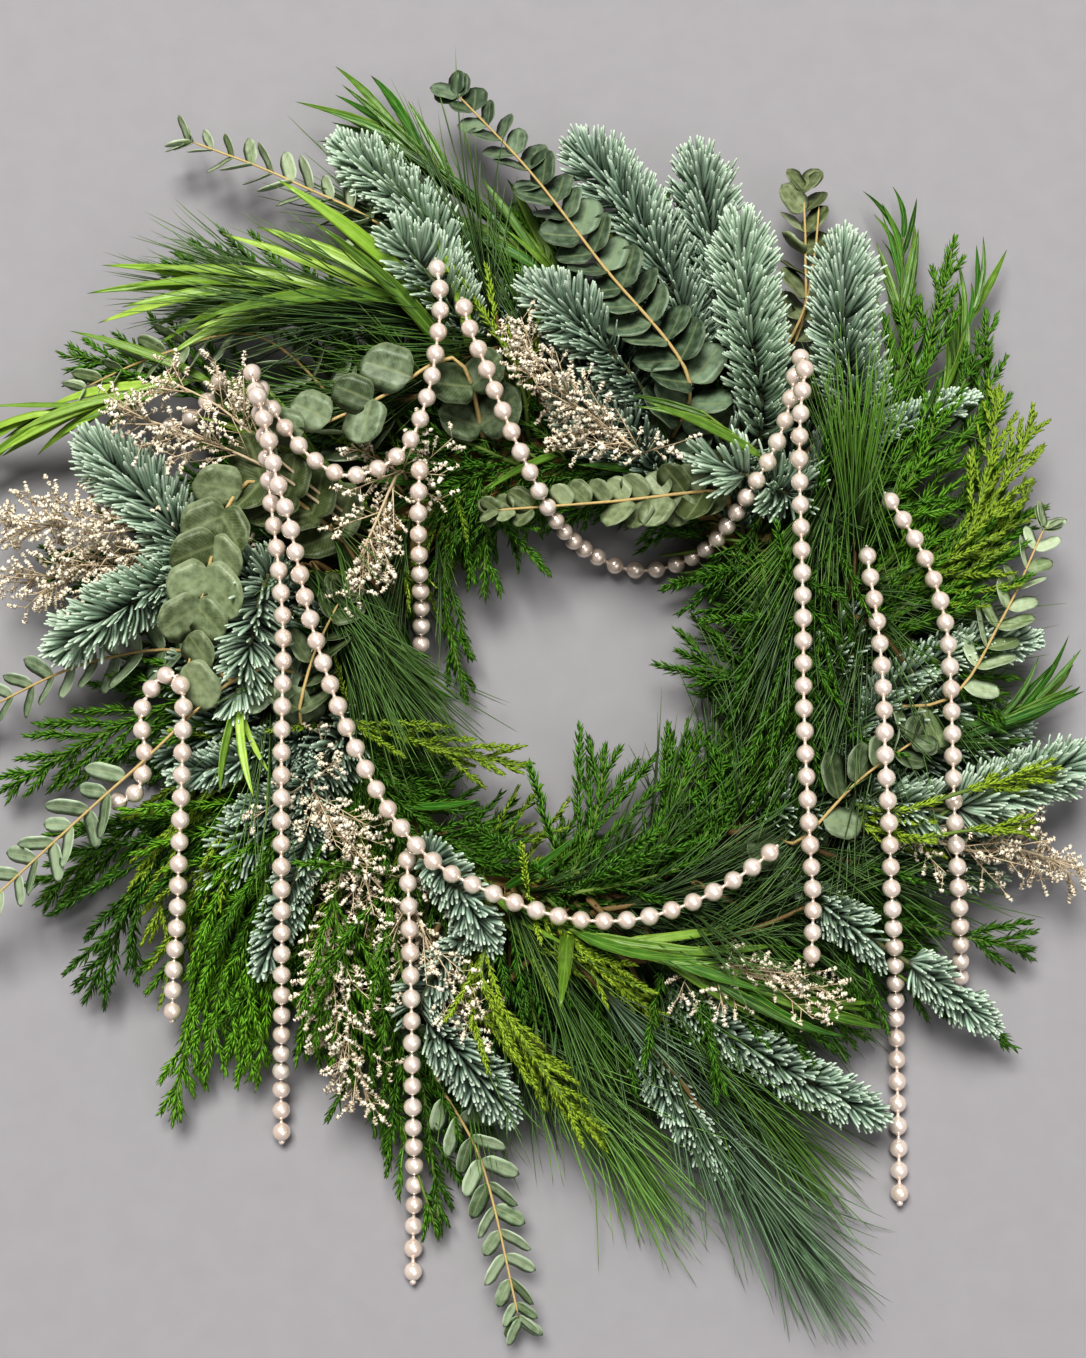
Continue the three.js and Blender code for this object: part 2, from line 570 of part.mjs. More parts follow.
// The first seat and bend that give the main stem a clear way from the form.
function placeMain(body, kind, points) {
  const ranked = SEATS.map((seat) => {
    const reach = points[0].clone().sub(seat.point);
    const facing = reach.clone().normalize().dot(seat.normal);
    return { seat, cost: reach.length() + FACING_COST * (1 - facing) };
  }).sort((a, b) => a.cost - b.cost);
  for (const bend of BENDS) {
    const moved = bent(points, bend);
    for (const { seat } of ranked.slice(0, SEATS_TRIED)) {
      const start = seat.point.clone().addScaledVector(seat.normal, GAP);
      const lift = seat.point.clone().addScaledVector(seat.normal, SEAT_LIFT);
      const curve = curveThrough([start, lift, ...moved]);
      const balls = stemBalls(curve, kind.stem);
      const clear = balls.every(({ centre, radius }, i) => {
        const offForm = i < SEATED_BALLS || clearOfForm(centre, radius);
        return offForm && clearOfOthers(body, centre, radius);
      });
      const apart = isFree(body, lift, kind.stem + 0.5);
      if (clear && apart) {
        balls.forEach(({ centre, radius }) => take(body, centre, radius));
        const bare = DRESSED_FROM * nearestShare(curve, moved[0]) * curve.getLength();
        return { curve, bare };
      }
    }
  }
  throw new Error(body.name + " finds no clear way from the form");
}

function nearestShare(curve, point) {
  let best = 0;
  for (let i = 0; i <= 200; i++) {
    const here = curve.getPointAt(i / 200).distanceTo(point);
    if (here < curve.getPointAt(best).distanceTo(point)) best = i / 200;
  }
  return best;
}

// Ring places along a stem: far apart where it is bare, a whorl's step apart where it is dressed.
function stemStations(kind, length, bare, forks) {
  const stations = [{ at: 0, grow: null }];
  const marks = forks.map((at) => ({ at, grow: "fork" })).sort((a, b) => a.at - b.at);
  let at = 0;
  for (const mark of [...marks, { at: bare, grow: null }]) {
    const steps = Math.max(1, Math.round((mark.at - at) / BARE_STEP));
    for (let i = 1; i < steps; i++) stations.push({ at: mix(at, mark.at, i / steps), grow: null });
    stations.push({ at: mark.at, grow: mark.grow });
    at = mark.at;
    if (mark.grow === "fork") {
      at += 2 * kind.stem;
      stations.push({ at, grow: null });
    }
  }
  const end = length - TIP_LENGTH;
  const steps = Math.max(2, Math.round((end - at) / kind.step));
  for (let i = 0; i < steps; i++) {
    const here = mix(at, end, i / steps);
    const last = stations[stations.length - 1];
    if (last.at === here) last.grow = kind.grow;
    else stations.push({ at: here, grow: kind.grow });
    if (kind.foot) stations.push({ at: here + kind.foot, grow: null });
  }
  stations.push({ at: end, grow: null });
  return stations;
}

// Skins a stem along its curve. Each facet that grows something is left open, as a job.
function buildStem(body, kind, curve, stations, root, random, onFork) {
  const length = curve.getLength();
  let low = root;
  let towards = null;
  let side = 1;
  const begin = root ? 1 : 0;
  for (let i = begin; i < stations.length; i++) {
    const share = Math.min(1, stations[i].at / length);
    const centre = curve.getPointAt(share);
    const tangent = curve.getTangentAt(share);
    const sides = low ? low.length : 3;
    const radius = kind.stem * mix(1, 0.55, share);
    if (low && towards === null) towards = body.points[low[0]].clone().sub(body.centre(low));
    const radii = new Array(sides).fill(radius);
    const twist = low && stations[i - 1].grow === "needle" ? degrees(34) : 0;
    const points = ringPoints(centre, tangent, towards ?? UP, radii, twist);
    towards = points[0].clone().sub(centre);
    const high = body.ring(points);
    if (!low) {
      body.cap(high);
      low = high;
      continue;
    }
    const grow = stations[i - 1].grow;
    const facets = body.facets(low, high);
    const aside = tangent.clone().cross(UP).normalize().multiplyScalar(side);
    const best = facets
      .map((facet) => body.outward(facet).dot(aside))
      .reduce((most, value, k, all) => (value > all[most] ? k : most), 0);
    facets.forEach((facet, k) => {
      if (grow === "needle") jobs.push({ body, kind, facet, tangent, share, random, grow });
      else if (grow === "fork") onFork(facet, k, facets, stations[i - 1].at);
      else if (grow && k === best) jobs.push({ body, kind, facet, tangent, share, random, grow });
      else body.quad(facet);
    });
    if (grow && grow !== "needle" && grow !== "fork") side = -side;
    low = high;
  }
  body.spike(low, curve.getPointAt(1));
}

const taken = (body, balls) => balls.forEach(({ centre, radius }) => take(body, centre, radius));

const FORK_LIFT = 5; // a fork stands this far out of the main stem before it turns
const FORK_REACH = 16; // and may come near the main stem's room this far
const SHORT_FORK = 22; // a fork that begins nearer than this to its first point skips it
const FORK_BARE = 14; // what is then bare of it

function placeFork(body, kind, facet, points) {
  const base = body.centre(facet);
  const out = body.outward(facet);
  for (const bend of BENDS) {
    const moved = bent(points, bend);
    const lift = base.clone().addScaledVector(out, FORK_LIFT);
    const toFirst = moved[0].clone().sub(base);
    const kept = toFirst.length() > SHORT_FORK ? moved : moved.slice(1);
    const curve = curveThrough([base, lift, ...kept]);
    const balls = stemBalls(curve, kind.stem);
    if (balls.every(({ centre, radius }) => isFree(body, centre, radius, base, FORK_REACH))) {
      taken(body, balls);
      const toLeaves = nearestShare(curve, moved[0]) * curve.getLength();
      return { curve, bare: kept === moved ? Math.max(10, toLeaves) : FORK_BARE };
    }
  }
  return null;
}

// Where along the main stem each fork leaves it, `shift` further back than its leaves begin.
function forkPlaces(curve, bare, forks, shift) {
  const places = [];
  forks.forEach((points) => {
    const wanted = nearestShare(curve, points[0]) * curve.getLength() - 8 - shift;
    let at = Math.min(bare - 10, Math.max(8, wanted));
    while (places.some((other) => Math.abs(other - at) < 6)) at -= 7;
    places.push(Math.max(3, at));
  });
  return places;
}

// A spray keeps its first stem and moves its forks back along it until each one has room.
const FORK_SHIFTS = [0, 8, 16, -8, 24, 32, 40];

function makeSpray([name, kindName, ...stems], index) {
  const kind = KINDS[kindName];
  const body = new Body(name, kind.colour, 0.75);
  const [mainPoints, ...forks] = stems.map((stem) => stem.map(vector));
  const { curve, bare } = placeMain(body, kind, mainPoints);
  for (const shift of FORK_SHIFTS) {
    const firstJob = jobs.length;
    const random = seeded(1000 + 37 * index);
    const places = forkPlaces(curve, bare, forks, shift);
    const grown = [];
    const onFork = (facet, k, facets, at) => {
      const points = forks[places.indexOf(at)];
      const wanted = points[0].clone().sub(body.centre(facet)).normalize();
      const fits = facets.map((other) => body.outward(other).dot(wanted));
      if (fits[k] < Math.max(...fits)) body.quad(facet);
      else grown.push({ facet, fork: placeFork(body, kind, facet, points) });
    };
    const stations = stemStations(kind, curve.getLength(), bare, places);
    buildStem(body, kind, curve, stations, null, random, onFork);
    if (grown.every(({ fork }) => fork)) {
      grown.forEach(({ facet, fork }) => {
        const along = stemStations(kind, fork.curve.getLength(), fork.bare, []);
        buildStem(body, kind, fork.curve, along, facet, random, null);
      });
      return body;
    }
    jobs.length = firstJob;
    body.points = [];
    body.faces = [];
  }
  throw new Error(name + " has no room for a fork");
}

// ---- What grows on a facet ----
const SHORTEST = 0.42; // a needle or leaf shrinks to this share of its length at most
const SHRINK_STEP = 0.035;
// Degrees about the stem and away from it, in the order tried; a shortened shape tries the first few.
const TURNS = [[0, 0], [20, 0], [-20, 0], [0, 14], [0, -14], [38, 0], [-38, 0], [20, 16], [-20, 16]];
const TURNS_WHEN_SHORT = 3;

// A direction turned about the stem and leaned towards or away from it.
function turned(direction, tangent, [about, lean]) {
  const side = direction.clone().cross(tangent).normalize();
  return direction
    .clone()
    .applyAxisAngle(tangent, degrees(about))
    .applyAxisAngle(side, degrees(lean));
}

// The largest shape with room on this facet. A slightly shorter one may not turn as far, and so
// it ends just short of what is in its way and leans on it.
function firstFree(job, shapeOf, ownReach) {
  const base = job.body.centre(job.facet);
  for (let shrink = 1; shrink > SHORTEST; shrink -= SHRINK_STEP) {
    for (const turn of shrink === 1 ? TURNS : TURNS.slice(0, TURNS_WHEN_SHORT)) {
      const shape = shapeOf(turned(job.direction, job.tangent, turn), shrink, base);
      if (shape.balls.every((ball) => isFree(job.body, ball.centre, ball.radius, base, ownReach))) {
        return shape;
      }
    }
  }
  return null;
}

function growNeedle(job) {
  const { body, kind, facet, random, share } = job;
  const out = body.outward(facet);
  const nearTip = share > 0.93 ? 0.6 : 1;
  const lean = degrees((kind.lean + (kind.jitter ?? 8) * (random() - 0.5)) * nearTip);
  job.direction = job.tangent
    .clone()
    .multiplyScalar(Math.cos(lean))
    .addScaledVector(out, Math.sin(lean))
    .addScaledVector(UP, kind.rise)
    .normalize();
  const length = kind.length * (0.88 + 0.24 * random());
  const foot = 0.5 * body.points[facet[0]].distanceTo(body.points[facet[2]]);
  const shape = firstFree(job, (direction, shrink, base) => {
    const tip = base.clone().addScaledVector(direction, length * shrink);
    const balls = [];
    for (let along = 0.5; along < length * shrink; along += 1.5) {
      const centre = base.clone().addScaledVector(direction, along);
      balls.push({ centre, radius: foot * (1 - along / (length * shrink)) + 0.15 });
    }
    return { tip, balls };
  }, 7);
  if (!shape) {
    body.quad(facet);
    return;
  }
  taken(body, shape.balls);
  body.spike(facet, shape.tip);
}

// Four corners of a thin section, in the order that best continues the ring before it.
function matched(body, ring, corners) {
  let best = null;
  for (let shift = 0; shift < 4; shift++) {
    const order = corners.map((_, i) => corners[(i + shift) % 4]);
    const far = order.reduce((sum, corner, i) => sum + corner.distanceTo(body.points[ring[i]]), 0);
    if (!best || far < best.far) best = { order, far };
  }
  return best.order;
}

function section(centre, direction, face, halfWidth, halfThick) {
  const side = face.clone().cross(direction).normalize();
  const up = direction.clone().cross(side);
  return [
    centre.clone().addScaledVector(side, halfWidth),
    centre.clone().addScaledVector(up, halfThick),
    centre.clone().addScaledVector(side, -halfWidth),
    centre.clone().addScaledVector(up, -halfThick),
  ];
}

const LEAF_BALL = 1.7; // a leaf's room is rows of balls this large
const LEAF_ROW = 2.3; // this far apart

function growLeaf(job) {
  const { body, kind, facet, random } = job;
  const out = body.outward(facet);
  out.z *= 0.4;
  out.normalize();
  const lean = degrees(kind.lean + 14 * (random() - 0.5));
  job.direction = job.tangent
    .clone()
    .multiplyScalar(Math.cos(lean))
    .addScaledVector(out, Math.sin(lean))
    .addScaledVector(UP, 0.12 + 0.2 * random())
    .normalize();
  const face = new THREE.Vector3(random() - 0.5, random() - 0.5, 1.1).normalize();
  const size = 0.82 + 0.3 * random();
  const shape = firstFree(job, (direction, shrink, base) => {
    const length = kind.length * size * shrink;
    const width = kind.width * size * Math.sqrt(shrink);
    const side = face.clone().cross(direction).normalize();
    const balls = [];
    for (let along = 3; along <= length; along += LEAF_ROW) {
      const share = along / length;
      const half = width * Math.min(1, share / 0.3, (1.08 - share) / (1 - kind.fullest));
      const count = Math.max(0, Math.ceil((half - 1.2) / LEAF_ROW));
      for (let k = -count; k <= count; k++) {
        const across = count ? (k / count) * (half - 0.6) : 0;
        const centre = base
          .clone()
          .addScaledVector(direction, along)
          .addScaledVector(side, across);
        balls.push({ centre, radius: LEAF_BALL });
      }
    }
    return { direction, length, width, balls };
  }, 8);
  if (!shape) {
    body.quad(facet);
    return;
  }
  taken(body, shape.balls);
  const base = body.centre(facet);
  let low = facet;
  [
    [0.28, 0.86],
    [kind.fullest + 0.12, 1],
  ].forEach(([share, width]) => {
    const centre = base.clone().addScaledVector(shape.direction, shape.length * share);
    const corners = section(centre, shape.direction, face, shape.width * width, kind.thick);
    const high = body.ring(matched(body, low, corners));
    body.skin(low, high);
    low = high;
  });
  body.spike(low, base.clone().addScaledVector(shape.direction, shape.length));
}

const FLORET_LENGTH = 6;
const FLORET_FULLEST = 2.6; // from a floret's tip to where it is widest

// A dried floret on a thin stalk.
function growFloret(job) {
  const { body, kind, facet, random } = job;
  const lean = degrees(kind.lean + 20 * (random() - 0.5));
  job.direction = job.tangent
    .clone()
    .multiplyScalar(Math.cos(lean))
    .addScaledVector(body.outward(facet), Math.sin(lean))
    .addScaledVector(UP, 0.35)
    .normalize();
  const long = kind.length * (0.8 + 0.4 * random());
  const shape = firstFree(job, (direction, shrink, base) => {
    const length = long * shrink;
    const balls = [];
    for (let along = 2.5; along <= length; along += 1.4) {
      const centre = base.clone().addScaledVector(direction, along);
      balls.push({ centre, radius: along > length - FLORET_LENGTH ? kind.width : 1 });
    }
    return { direction, length, balls };
  }, 7);
  if (!shape) {
    body.quad(facet);
    return;
  }
  taken(body, shape.balls);
  const base = body.centre(facet);
  let low = facet;
  [
    [shape.length - FLORET_LENGTH, 0.55],
    [shape.length - FLORET_FULLEST, kind.width],
  ].forEach(([along, radius]) => {
    const centre = base.clone().addScaledVector(shape.direction, along);
    const corners = section(centre, shape.direction, UP, radius, radius);
    const high = body.ring(matched(body, low, corners));
    body.skin(low, high);
    low = high;
  });
  body.spike(low, base.clone().addScaledVector(shape.direction, shape.length));
}

const GROWERS = { leaf: growLeaf, needle: growNeedle, floret: growFloret };

// ---- The whole wreath ----
const form = makeForm();
const wire = makeWire();
const strands = Object.entries(STRANDS).map(([name, points]) => makeStrand(name, points));
const sprays = SPRAYS.map(makeSpray);

// Leaves are placed first, then florets, then needles, each in a mixed order, so that no spray
// takes all the room.
const order = seeded(7);
const ranks = { leaf: 0, floret: 1, needle: 2 };
jobs.forEach((job) => {
  job.rank = ranks[job.grow] + order();
});
jobs.sort((a, b) => a.rank - b.rank);
jobs.forEach((job) => GROWERS[job.grow](job));

// The frame's origin is the middle of the underside of everything but the pearls.
const wreath = new THREE.Group();
const solids = [form, wire, ...sprays].map((body) => body.mesh());
solids.forEach((mesh) => wreath.add(mesh));
const box = new THREE.Box3().setFromObject(wreath);
const middle = box.getCenter(new THREE.Vector3());
strands.forEach((strand) => wreath.add(strand.mesh()));
wreath.position.set(-middle.x, -middle.y, -box.min.z);

const part = new THREE.Group();
part.add(wreath);

export default part;
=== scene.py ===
# The looks of a fresh evergreen wreath that lies flat and is seen from above: every spray, the
# strands of pearls over them, the straw form under them and its binding wire.
# Lengths are millimetres from the wreath's middle, +Z up and +Y towards its top. Where a piece is
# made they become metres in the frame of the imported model.
import math
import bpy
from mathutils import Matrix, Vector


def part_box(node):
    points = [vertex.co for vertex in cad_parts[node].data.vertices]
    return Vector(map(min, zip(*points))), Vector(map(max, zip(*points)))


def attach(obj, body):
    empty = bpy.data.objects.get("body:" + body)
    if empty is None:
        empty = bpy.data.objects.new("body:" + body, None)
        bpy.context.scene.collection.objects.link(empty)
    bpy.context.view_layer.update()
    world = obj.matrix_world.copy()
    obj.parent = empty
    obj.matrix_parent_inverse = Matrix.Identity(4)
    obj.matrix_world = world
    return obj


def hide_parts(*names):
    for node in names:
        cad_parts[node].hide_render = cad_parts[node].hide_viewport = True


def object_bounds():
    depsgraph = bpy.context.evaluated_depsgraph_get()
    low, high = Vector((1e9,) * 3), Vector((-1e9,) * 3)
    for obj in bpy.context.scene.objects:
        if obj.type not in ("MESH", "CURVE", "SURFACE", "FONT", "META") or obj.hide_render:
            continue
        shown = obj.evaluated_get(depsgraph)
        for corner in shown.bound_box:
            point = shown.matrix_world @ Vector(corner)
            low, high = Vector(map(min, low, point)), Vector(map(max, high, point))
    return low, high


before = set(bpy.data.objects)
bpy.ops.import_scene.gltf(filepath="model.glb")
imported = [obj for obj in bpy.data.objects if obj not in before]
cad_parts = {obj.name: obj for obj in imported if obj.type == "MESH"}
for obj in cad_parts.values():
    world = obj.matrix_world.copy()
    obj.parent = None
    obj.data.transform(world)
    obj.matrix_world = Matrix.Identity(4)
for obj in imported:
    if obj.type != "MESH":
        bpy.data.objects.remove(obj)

from types import SimpleNamespace

import bpy
import numpy as np

MM = 0.001
CAD_BOX = [list(corner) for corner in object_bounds()]
FORM_LOW, FORM_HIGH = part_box("straw_ring")
MIDDLE = np.array([(FORM_LOW.x + FORM_HIGH.x) / 2, (FORM_LOW.y + FORM_HIGH.y) / 2, 0.0])
LOWEST = (np.array(CAD_BOX[0]) - MIDDLE) / MM + [1.0, 1.0, 0.8]
HIGHEST = (np.array(CAD_BOX[1]) - MIDDLE) / MM - [1.0, 1.0, 1.0]
UP = np.array([0.0, 0.0, 1.0])
GOLDEN_TURN = 2.399963
HALF = 0.5  # the hue, or the place across, of what has none of its own

FORM_RADIUS = 128  # from the wreath's middle to the middle of the straw form
FORM_WIDTH = 36
FORM_HEIGHT = 34
FORM_FOOT = 22
WIRE_TURNS = 10
WIRE_RADIUS = 0.6
PEARL_RADIUS = 5
PEARL_PITCH = 12
STRING_RADIUS = 0.8

PHOTO_WIDTH = 1086
PHOTO_HEIGHT = 1358
CAMERA_TILT = math.radians(9)
CAMERA_DISTANCE = 1300
CAMERA_TARGET = np.array([-17.5, -2.2, 40.0])
SEEN_WIDTH = 593  # what the picture's width takes in at the target


def metres(points):
    return np.asarray(points, float) * MM + MIDDLE


def placed(name, data):
    """A new object in the scene."""
    thing = bpy.data.objects.new(name, data)
    bpy.context.scene.collection.objects.link(thing)
    return thing


def like(look, **changes):
    """The same facts, apart from the changes."""
    return SimpleNamespace(**{**vars(look), **changes})


def jitter(rng, shape=None):
    """Random numbers from -0.5 to 0.5."""
    return rng.random(shape) - 0.5


def make_camera():
    """The camera is over the wreath and a little towards its foot."""
    data = bpy.data.cameras.new("camera")
    data.sensor_width = 36
    focal_pixels = PHOTO_WIDTH * CAMERA_DISTANCE / SEEN_WIDTH
    data.lens = data.sensor_width * focal_pixels / PHOTO_HEIGHT
    data.clip_start = 0.05
    camera = placed("camera", data)
    back = np.array([0.0, -math.sin(CAMERA_TILT), math.cos(CAMERA_TILT)])
    camera.location = metres(CAMERA_TARGET + back * CAMERA_DISTANCE)
    camera.rotation_euler = (CAMERA_TILT, 0, 0)
    bpy.context.scene.camera = camera


# ---- Lines ----
def unit(vectors):
    return vectors / np.maximum(np.linalg.norm(vectors, axis=-1, keepdims=True), 1e-9)


def smooth(points, steps=14):
    """Points on the centripetal Catmull-Rom curve through the given ones."""
    given = np.asarray(points, float)
    p = np.vstack([2 * given[0] - given[1], given, 2 * given[-1] - given[-2]])
    spans = np.sqrt(np.linalg.norm(np.diff(p, axis=0), axis=1))[:, None]
    before, start, end, after = p[:-3], p[1:-2], p[2:-1], p[3:]
    a, b, c = spans[:-2], spans[1:-1], spans[2:]
    leaving = ((start - before) / a - (end - before) / (a + b) + (end - start) / b) * b
    arriving = ((end - start) / b - (after - start) / (b + c) + (after - end) / c) * b
    u = (np.arange(steps) / steps)[:, None, None]
    square = -3 * start + 3 * end - 2 * leaving - arriving
    cube = 2 * start - 2 * end + leaving + arriving
    curve = start + leaving * u + square * u**2 + cube * u**3
    return np.vstack([curve.transpose(1, 0, 2).reshape(-1, 3), given[-1:]])


class Line:
    """A line through points, measured along its length."""

    def __init__(self, points):
        self.points = np.asarray(points, float)
        steps = np.linalg.norm(np.diff(self.points, axis=0), axis=1)
        self.along = np.concatenate([[0], np.cumsum(steps)])
        self.length = self.along[-1]
        self.tangents = unit(np.gradient(self.points, axis=0))

    def at(self, along):
        """The points and tangents this far along."""
        places, headings = (
            np.stack([np.interp(along, self.along, column) for column in rows.T], -1)
            for rows in (self.points, self.tangents))
        return places, unit(headings)

    def framed(self, along):
        """The points and tangents this far along, with the upper and the level way across."""
        places, tangents = self.at(along)
        return places, tangents, *sides_of(tangents)


def arc(origin, direction, length, bend):
    """A short line from a point, bent towards `bend` by its end."""
    t = np.linspace(0, 1, 6)[:, None]
    points = origin + direction * length * t + np.asarray(bend) * t**2
    points[:, 2] = np.maximum(points[:, 2], LOWEST[2] + 2)
    return Line(points)


def sides_of(tangent):
    """Two directions square to each tangent: the upper one and the level one."""
    upper = unit(UP - tangent * (tangent @ UP)[..., None] + 1e-6)
    return upper, np.cross(tangent, upper)


def turned(first, second, angle):
    """The first directions, turned by these angles towards the second ones."""
    return first * np.cos(angle)[:, None] + second * np.sin(angle)[:, None]


def circle(first, second, corners):
    """The corners of a unit circle in the plane of each pair of directions."""
    angle = (2 * np.pi * np.arange(corners) / corners)[:, None]
    return first[:, None] * np.cos(angle) + second[:, None] * np.sin(angle)


# ---- Bodies: everything is rings of corners swept along a line ----
INSIDE_OUT = [0, 3, 2, 1]


def ring_quads(rings, corners, closed=False):
    """The faces between rings of corners. Where they are closed, the last ring meets the first."""
    here = np.arange(corners)
    after = (here + 1) % corners
    low = np.arange(rings if closed else rings - 1)[:, None] * corners
    high = (low + corners) % (rings * corners)
    return np.stack([low + here, low + after, high + after, high + here], -1).reshape(-1, 4)


class Sheaf:
    """The closed bodies of one piece, with a tone at each corner: a random share for the body,
    how far along it the corner lies, how far across, and the body's hue."""

    def __init__(self):
        self.points = []
        self.tones = []
        self.faces = []
        self.count = 0

    def add(self, points, tone, faces, material=0):
        bodies, corners = points.shape[:2]
        first = self.count + corners * np.arange(bodies)
        for kind in faces:
            loops = (kind[None] + first[:, None, None]).reshape(-1, kind.shape[1])
            self.faces.append((loops, material))
        self.points.append(points.reshape(-1, 3))
        self.tones.append(tone.reshape(-1, 4))
        self.count += bodies * corners


def sweep(sheaf, centres, rings, tips, tone, material=0):
    """Bodies with a cap at the base, rings of corners round the centres and a fan to the tip."""
    bodies, stations, corners = rings.shape[:3]
    if not bodies:
        return
    points = (centres[:, :, None] + rings).reshape(bodies, -1, 3)
    points = np.concatenate([points, tips[:, None]], axis=1)
    here = np.arange(corners)
    last = (stations - 1) * corners
    fan = np.stack([last + here, last + (here + 1) % corners, 0 * here + stations * corners], -1)
    sheaf.add(points, tone, [ring_quads(stations, corners), fan, here[None, ::-1]], material)


def tones(random, along, across, hue):
    """Tones for swept bodies: along is per ring, across is per corner of a ring."""
    bodies, stations, corners = len(random), len(along), len(across)
    tone = np.empty((bodies, stations * corners + 1, 4))
    tone[..., 0] = random[:, None]
    tone[..., 1] = np.concatenate([np.repeat(along, corners), [1.0]])
    tone[..., 2] = np.concatenate([np.tile(across, stations), [across[0]]])
    tone[..., 3] = np.asarray(hue).reshape(-1, 1)
    return tone


LAST_RING = 0.97  # how far along a stem its point begins
UNEVEN = 0.12  # how much its radius varies


def tube(sheaf, line, start_radius, end_radius, rng, corners=6, step=9, material=1, hue=HALF):
    """A stem along a line."""
    stations = max(3, int(line.length / step))
    share = np.linspace(0, LAST_RING, stations)
    centres, _, upper, level = line.framed(share * line.length)
    radius = start_radius + (end_radius - start_radius) * share
    radius = radius * (1 + UNEVEN * jitter(rng, stations))
    rings = circle(-level, upper, corners) * radius[:, None, None]
    tone = tones(rng.random(1), share, np.full(corners, HALF), hue)
    sweep(sheaf, centres[None], rings[None], line.points[-1:], tone, material)


# ---- Room for the pearls, in a grid ----
class Room:
    """Remembers where pearls, round leaves and firs' stems lie, so that nothing runs through."""

    CELL = 2.0
    MARGIN = 4
    KEPT = 6.4  # round a line
    COVER = 4.6  # half the width that stays open above it

    def __init__(self):
        self.low = LOWEST - self.MARGIN
        cells = np.ceil((HIGHEST + 2 * self.MARGIN - self.low) / self.CELL).astype(int)
        self.taken = np.zeros(cells, bool)
        self.last = cells - 1

    def cell(self, points):
        return np.clip(((points - self.low) / self.CELL).astype(int), 0, self.last)

    def take(self, cells):
        self.taken[tuple(np.clip(cells, 0, self.last).T)] = True

    def block(self, line, covered_start, covered_end):
        """Takes the cells round a line, and those above it that are farther from its ends."""
        reach = int(self.KEPT / self.CELL) + 1
        axis = np.arange(-reach, reach + 1)
        around = np.stack(np.meshgrid(axis, axis, axis), -1).reshape(-1, 3)
        distance = np.linalg.norm(around, axis=1) * self.CELL
        level = around[(around[:, 2] == 0) & (distance <= self.COVER)]
        for along in np.arange(0, line.length, self.CELL):
            cell = self.cell(line.at(along)[0])
            self.take(around[distance <= self.KEPT] + cell)
            if covered_start < along < line.length - covered_end:
                for x, y, z in level + cell:
                    self.taken[x, y, z:] = True

    def cover(self, points):
        """Takes the cells at these points and round them."""
        cells = self.cell(points)
        for shift in np.ndindex(3, 3, 3):
            self.take(cells + shift - 1)

    def free(self, points):
        """Which bodies keep clear, from their points as bodies × points × 3."""
        cells = self.cell(points)
        return ~self.taken[cells[..., 0], cells[..., 1], cells[..., 2]].any(axis=1)


ROOM = Room()


# ---- Materials ----
def linear(screen_colour):
    """A screen colour, written as "#rrggbb", as a linear one."""
    shares = [int(screen_colour[i:i + 2], 16) / 255 for i in (1, 3, 5)]
    return tuple(s / 12.92 if s <= 0.04045 else ((s + 0.055) / 1.055) ** 2.4 for s in shares)


MIX_SHARE, MIX_FIRST, MIX_SECOND, MIX_RESULT = 0, 6, 7, 2  # a mix node's sockets for colours


class Paint:
    """A material, with short names for its nodes."""

    def __init__(self, name, roughness, **settings):
        self.material = bpy.data.materials.new(name)
        self.material.use_nodes = True
        self.nodes = self.material.node_tree.nodes
        self.shader = self.nodes["Principled BSDF"].inputs
        self.shader["Roughness"].default_value = roughness
        for key, value in settings.items():
            self.shader[key.replace("_", " ")].default_value = value
        tone = self.node("Attribute", {}, attribute_name="tone")
        self.random, self.along, self.across = self.node("SeparateColor", {0: tone["Color"]})[:3]
        self.hue = tone["Alpha"]
        self.place = self.node("TexCoord", {})["Object"]

    def put(self, socket, value):
        if isinstance(value, bpy.types.NodeSocket):
            self.material.node_tree.links.new(value, socket)
        else:
            socket.default_value = (*linear(value), 1) if isinstance(value, str) else value

    def node(self, kind, inputs, **settings):
        """The outputs of a new node."""
        node = self.nodes.new("ShaderNode" + kind)
        for key, value in settings.items():
            setattr(node, key, value)
        for key, value in inputs.items():
            self.put(node.inputs[key], value)
        return node.outputs

    def math(self, operation, *values):
        return self.node("Math", dict(enumerate(values)), operation=operation)[0]

    def times(self, first, second):
        return self.math("MULTIPLY", first, second)

    def total(self, first, first_share, second, second_share):
        return self.math("ADD", self.times(first, first_share), self.times(second, second_share))

    def noise(self, scale, detail, stretch=None):
        place = self.place
        if stretch:
            place = self.node("Mapping", {"Vector": place, "Scale": stretch})[0]
        return self.node("TexNoise", {"Scale": scale, "Detail": detail, "Vector": place})["Fac"]

    def mix(self, share, first, second, blend="MIX"):
        inputs = {MIX_SHARE: share, MIX_FIRST: first, MIX_SECOND: second}
        return self.node("Mix", inputs, data_type="RGBA", blend_type=blend)[MIX_RESULT]

    def ramp(self, value, low, high):
        """0 below low, 1 above high."""
        inputs = {"Value": value, "From Min": low, "From Max": high}
        return self.node("MapRange", inputs, interpolation_type="SMOOTHSTEP")["Result"]

    def finish(self, base, height, strength=0.3, distance=0.0004):
        self.put(self.shader["Base Color"], base)
        bump = {"Strength": strength, "Distance": distance, "Height": height}
        self.put(self.shader["Normal"], self.node("Bump", bump)[0])
        return self.material


